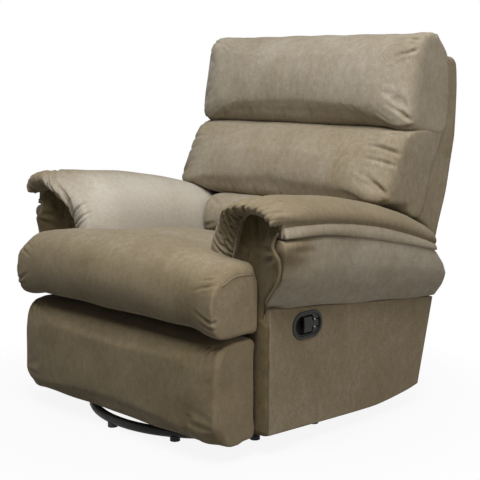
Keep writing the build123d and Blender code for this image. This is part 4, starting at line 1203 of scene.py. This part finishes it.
def make_speckled(name, tone, patch_tone, scale, smooth, rough, bump, depth, metallic=0.0, shine=0.5):
    finish, wire, shader = new_finish(name)
    values = {"Tone": (*tone, 1), "Worn": (*patch_tone, 1), "Grain Scale": scale, "Smooth": smooth, "Rough": rough}
    dressed(wire, shader, speckle, values, bump, depth)
    shader["Metallic"].default_value = metallic
    shader["Specular IOR Level"].default_value = shine
    return finish


def make_planed_wood():
    finish, wire, shader = new_finish("planed_hardwood")
    stretched = wire.add("ShaderNodeMapping", {"Vector": wire.place(), "Scale": (6.0, 55.0, 55.0)}).outputs[0]
    grain = wire.noise(stretched, 3.0, 8.0, 0.65, 1.2)
    tone = wire.add("ShaderNodeValToRGB", {"Fac": grain})
    tone.color_ramp.elements[0].position = 0.32
    tone.color_ramp.elements[0].color = (0.34, 0.20, 0.095, 1)
    tone.color_ramp.elements[1].position = 0.68
    tone.color_ramp.elements[1].color = (0.62, 0.44, 0.26, 1)
    wire.feed(shader["Base Color"], tone.outputs[0])
    wire.feed(shader["Roughness"], wire.spread(grain, 0.0, 1.0, 0.72, 0.55))
    emboss(wire, shader, 0.25, 0.0006, grain)
    return finish


def make_webbing():
    finish, wire, shader = new_finish("elastic_webbing")
    at = wire.place()
    warp = wire.add("ShaderNodeTexWave", {"Vector": at, "Scale": 160.0}, bands_direction="X").outputs["Fac"]
    weft = wire.add("ShaderNodeTexWave", {"Vector": at, "Scale": 160.0}, bands_direction="Y").outputs["Fac"]
    weave = wire.math("MULTIPLY", warp, weft)
    wire.feed(shader["Base Color"], wire.blend(weave, (0.025, 0.025, 0.027, 1), (0.085, 0.083, 0.080, 1)))
    shader["Roughness"].default_value = 0.85
    emboss(wire, shader, 0.5, 0.0008, weave)
    return finish


finishes = {
    "suede": make_suede(),
    "black_steel": make_speckled(
        "black_powder_coat", (0.016, 0.015, 0.014), (0.028, 0.026, 0.024), 1400.0, 0.46, 0.62, 0.12, 0.0005,
        shine=0.22,
    ),
    "zinc_steel": make_speckled(
        "zinc_plate", (0.55, 0.56, 0.58), (0.44, 0.45, 0.46), 700.0, 0.26, 0.42, 0.08, 0.0003, metallic=1.0
    ),
    "hardwood": make_planed_wood(),
    "webbing": make_webbing(),
    "foot_rubber": make_speckled(
        "foot_rubber", (0.024, 0.024, 0.025), (0.045, 0.044, 0.042), 1100.0, 0.70, 0.88, 0.20, 0.0006
    ),
    "handle_plastic": make_speckled(
        "moulded_plastic", (0.013, 0.012, 0.0115), (0.020, 0.0185, 0.018), 1700.0, 0.42, 0.56, 0.22, 0.0004,
        shine=0.28,
    ),
    "cable_sleeve": make_speckled(
        "cable_sleeve", (0.022, 0.022, 0.024), (0.034, 0.034, 0.036), 1300.0, 0.42, 0.55, 0.10, 0.0003
    ),
}

# The dressed chair


def wear(piece, finish):
    piece.data.materials.clear()
    piece.data.materials.append(finish)


node_slots = {row["node"]: row["material_slot"] for row in frame["record"]["subparts"]}
for node_name, node_piece in frame["nodes"].items():
    wear(node_piece, finishes[node_slots[node_name]])
wear(frame["nodes"]["arm_inner_panels"], finishes["suede"])


def upholster(piece, body, replaced=(), painted_light_and_tone=None):
    """Puts the suede on a piece, paints light and shade into its colour through a vertex value, and hangs it
    on its body.
    """
    wear(piece, finishes["suede"])
    if painted_light_and_tone is not None:
        # Painted light and shade: a vertex value that makes the suede paler or darker.
        way = piece.data.attributes.new("painted_light_and_tone", "FLOAT", "POINT")
        way.data.foreach_set("value", np.ascontiguousarray(painted_light_and_tone(points_of(piece.data)), dtype=np.float32))
    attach(piece, body)
    if replaced:
        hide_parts(*replaced)


def pad_painted_sheen_and_shade(side):
    """Painted sheen makes the pads paler on the side of the sitter, painted shade darker over the lip; one
    pad keeps the painted sheen round its front too.
    """
    if side > 0:
        front_sheen_share, inner_edge, crown, lip_shade = 0.12, 0.25, 0.36, -0.15
    else:
        front_sheen_share, inner_edge, crown, lip_shade = 0.80, 0.27, 0.43, 0.0

    def sheen_and_shade(points):
        inner = 1 - ease(inner_edge, crown, np.abs(points[:, 0]))
        front = front_sheen_share + (1 - front_sheen_share) * ease(-0.235, -0.150, points[:, 1])
        return (lip_shade + (1 - lip_shade) * inner) * front

    return sheen_and_shade


def soft_patch(points, place, reach):
    """A soft round patch on a cover: one at its middle, fading to nought over its reach."""
    return np.exp(-np.sum(((points - place) / reach) ** 2, axis=1))


# Painted shade darkens the seat's lower front, with less painted shade on its end panels; it also gives a
# darker and a paler patch on the front.
def seat_painted_shade_and_patches(points):
    end = ease(0.383, 0.391, np.abs(points[:, 0]))
    front = -0.46 * (1 - ease(0.430, 0.490, points[:, 2])) * (1 - 0.8 * end)
    dark_patch = soft_patch(points, (0.315, -0.368, 0.400), (0.045, 0.030, 0.050))
    pale = soft_patch(points, (0.150, -0.368, 0.420), (0.090, 0.050, 0.050))
    return 0.04 + front - 0.30 * dark_patch + 0.16 * pale


# Painted shade darkens the whole footrest pad, with less painted shade on its end faces; it also gives two
# darker patches on its face.
def foot_painted_shade_and_patches(points):
    dark_patch = soft_patch(points, (0.290, -0.358, 0.110), (0.030, 0.040, 0.060))
    patch_tone = soft_patch(points, (0.220, -0.358, 0.270), (0.110, 0.060, 0.040))
    return -0.50 + 0.22 * ease(0.372, 0.383, np.abs(points[:, 0])) - 0.22 * dark_patch - 0.22 * patch_tone


def roll_painted_light_and_shade(points):
    """Painted light makes the roll paler overall; painted shade darkens it behind its front, under the pad's
    overhang.
    """
    middle = (np.sign(points[0, 0]) * 0.470, -0.205, 0.510)
    return 0.45 - 0.95 * soft_patch(points, middle, (0.1, 0.075, 0.045))


def shell_painted_shade(points):
    """The outer back lies in the shade of the cushions along its front edge."""
    behind = points[:, 1] - read_off(SIDE_SEAM, points[:, 2])
    return 0.04 - 0.80 * (1 - ease(-0.004, 0.022, behind))


# An even level of painted light for a whole piece: above nought paler, below nought darker.
def painted_light_level(way):
    return lambda points: np.full(len(points), way)


seat_cover = make_seat_cushion()
upholster(seat_cover, "chair", ["seat_cushion"], seat_painted_shade_and_patches)
for seam in make_seat_end_seams(seat_cover):
    upholster(seam, "chair", painted_light_and_tone=painted_light_level(-0.2))
upholster(make_footrest_pad(), "footrest", ["footrest_pad"], foot_painted_shade_and_patches)
# Painted light: the back cushions are painted paler, as faces that tip up into the light.
upholster(make_head_cushion(), "back", ["head_cushion"], painted_light_level(0.34))
upholster(make_lumbar_cushion(), "back", ["lumbar_cushion"], painted_light_level(0.18))
upholster(make_lower_cushion(), "back", ["lower_cushion"], painted_light_level(0.20))
back_cover, back_tail = make_outer_back()
upholster(back_cover, "back", ["back_shell"], painted_light_and_tone=shell_painted_shade)
# Painted shade: the outer back's tail and the rear panel are painted a little darker.
upholster(back_tail, "back", painted_light_and_tone=painted_light_level(-0.12))
upholster(make_rear_panel(), "chair", ["rear_panel"], painted_light_and_tone=painted_light_level(-0.12))
for side, name, seed, puff in ((1, "left", 41, 1.0), (-1, "right", 61, 1.12)):
    pad, welt = make_arm_pad(side, name, seed, puff)
    band = make_pad_band(side, name)
    roll = make_arm_roll(side, name, seed + 5)
    piping = make_front_piping(side, name)
    facing = make_arm_facing(side, name, seed + 9)
    for piece in (pad, welt, band, roll, piping, facing):
        swell_front(piece)
    upholster(pad, "chair", [f"arm_pillow_{name}"], pad_painted_sheen_and_shade(side))
    # Painted highlight: the welt and the strip under the pad's lip are painted paler, as lit edges.
    upholster(welt, "chair", painted_light_and_tone=painted_light_level(0.10))
    upholster(band, "chair", painted_light_and_tone=painted_light_level(0.22))
    upholster(roll, "chair", [f"arm_roll_{name}"], roll_painted_light_and_shade)
    # Painted shade: the piping is painted darker, and the arm's front, in the recess under the pad's nose,
    # much darker.
    upholster(piping, "chair", painted_light_and_tone=painted_light_level(-0.35))
    upholster(facing, "chair", [f"arm_facing_{name}"], painted_light_level(-0.90))
    upholster(make_side_panel(side, name), "chair", [f"side_panel_{name}"], painted_light_and_tone=painted_light_level(0.0))

paddle, land = make_handle()
for piece, body in ((paddle, "paddle"), (land, "chair")):
    wear(piece, finishes["handle_plastic"])
    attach(piece, body)
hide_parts("handle_paddle")

# Stage


FLOOR_REACH = 14.0


def seen_directly(wire):
    """One where the camera or a reflection sees a surface, nought where it only bounces light."""
    path = wire.add("ShaderNodeLightPath").outputs
    return wire.math("MAXIMUM", path["Is Camera Ray"], path["Is Glossy Ray"])


def make_floor():
    """White floor that keeps the shadow near the chair and runs out into the white background."""
    finish = bpy.data.materials.new("pale_floor")
    wire = emptied(finish)
    away = wire.add("ShaderNodeVectorMath", {0: wire.place()}, operation="LENGTH").outputs["Value"]
    clear = wire.spread(away, 0.45, 1.00, 0.90, 1.0)
    matt = wire.add("ShaderNodeBsdfDiffuse", {"Color": (0.62, 0.62, 0.62, 1)})
    glow = wire.add("ShaderNodeEmission", {"Color": (1, 1, 1, 1), "Strength": 1.0})
    shown = wire.add("ShaderNodeMixShader", {0: clear, 1: matt.outputs[0], 2: glow.outputs[0]})
    bounce = wire.add("ShaderNodeBsdfDiffuse", {"Color": (0.25, 0.25, 0.25, 1)})
    mix = wire.add("ShaderNodeMixShader", {0: seen_directly(wire), 1: bounce.outputs[0], 2: shown.outputs[0]})
    wire.add("ShaderNodeOutputMaterial", {"Surface": mix.outputs[0]})
    mesh = bpy.data.meshes.new("floor")
    corners = [(a * FLOOR_REACH, b * FLOOR_REACH, 0) for a, b in ((-1, -1), (1, -1), (1, 1), (-1, 1))]
    mesh.from_pydata(corners, [], [(0, 1, 2, 3)])
    mesh.materials.append(finish)
    floor = placed("floor", mesh)


def make_sky():
    sky = bpy.data.worlds.new("studio")
    bpy.context.scene.world = sky
    wire = emptied(sky)
    fill = wire.add("ShaderNodeBackground", {"Color": (1, 1, 1, 1), "Strength": 0.11})
    white = wire.add("ShaderNodeBackground", {"Color": (1, 1, 1, 1), "Strength": 1.0})
    mix = wire.add("ShaderNodeMixShader", {0: seen_directly(wire), 1: fill.outputs[0], 2: white.outputs[0]})
    wire.add("ShaderNodeOutputWorld", {"Surface": mix.outputs[0]})


def add_lamp(name, place, target, size, power, colour=(1, 1, 1)):
    lamp = bpy.data.lights.new(name, "AREA")
    lamp.shape = "DISK"
    lamp.size = size
    lamp.energy = power
    lamp.color = colour
    holder = placed(name, lamp)
    holder.location = place
    holder.rotation_euler = (Vector(target) - Vector(place)).to_track_quat("-Z", "Y").to_euler()


CHAIR_MIDDLE = (0.0, 0.0, 0.5)

make_floor()
make_sky()
add_lamp("key", (1.1, -1.3, 3.3), CHAIR_MIDDLE, 2.2, 118.0)
add_lamp("right_fill", (3.4, -0.6, 1.6), CHAIR_MIDDLE, 1.8, 24.0, (1.0, 0.90, 0.76))

CAMERA_PLACE = (2.16214, -2.06027, 0.93786)
CAMERA_DOWN = math.radians(9.04)
CAMERA_TURN = math.radians(44.84)

camera = bpy.data.cameras.new("photo_camera")
camera.lens = 82.5
camera.sensor_width = 36.0
camera_holder = placed("photo_camera", camera)
camera_holder.location = CAMERA_PLACE
camera_holder.rotation_euler = (math.pi / 2 - CAMERA_DOWN, 0, CAMERA_TURN)
bpy.context.scene.camera = camera_holder
bpy.context.scene.view_settings.view_transform = "Standard"
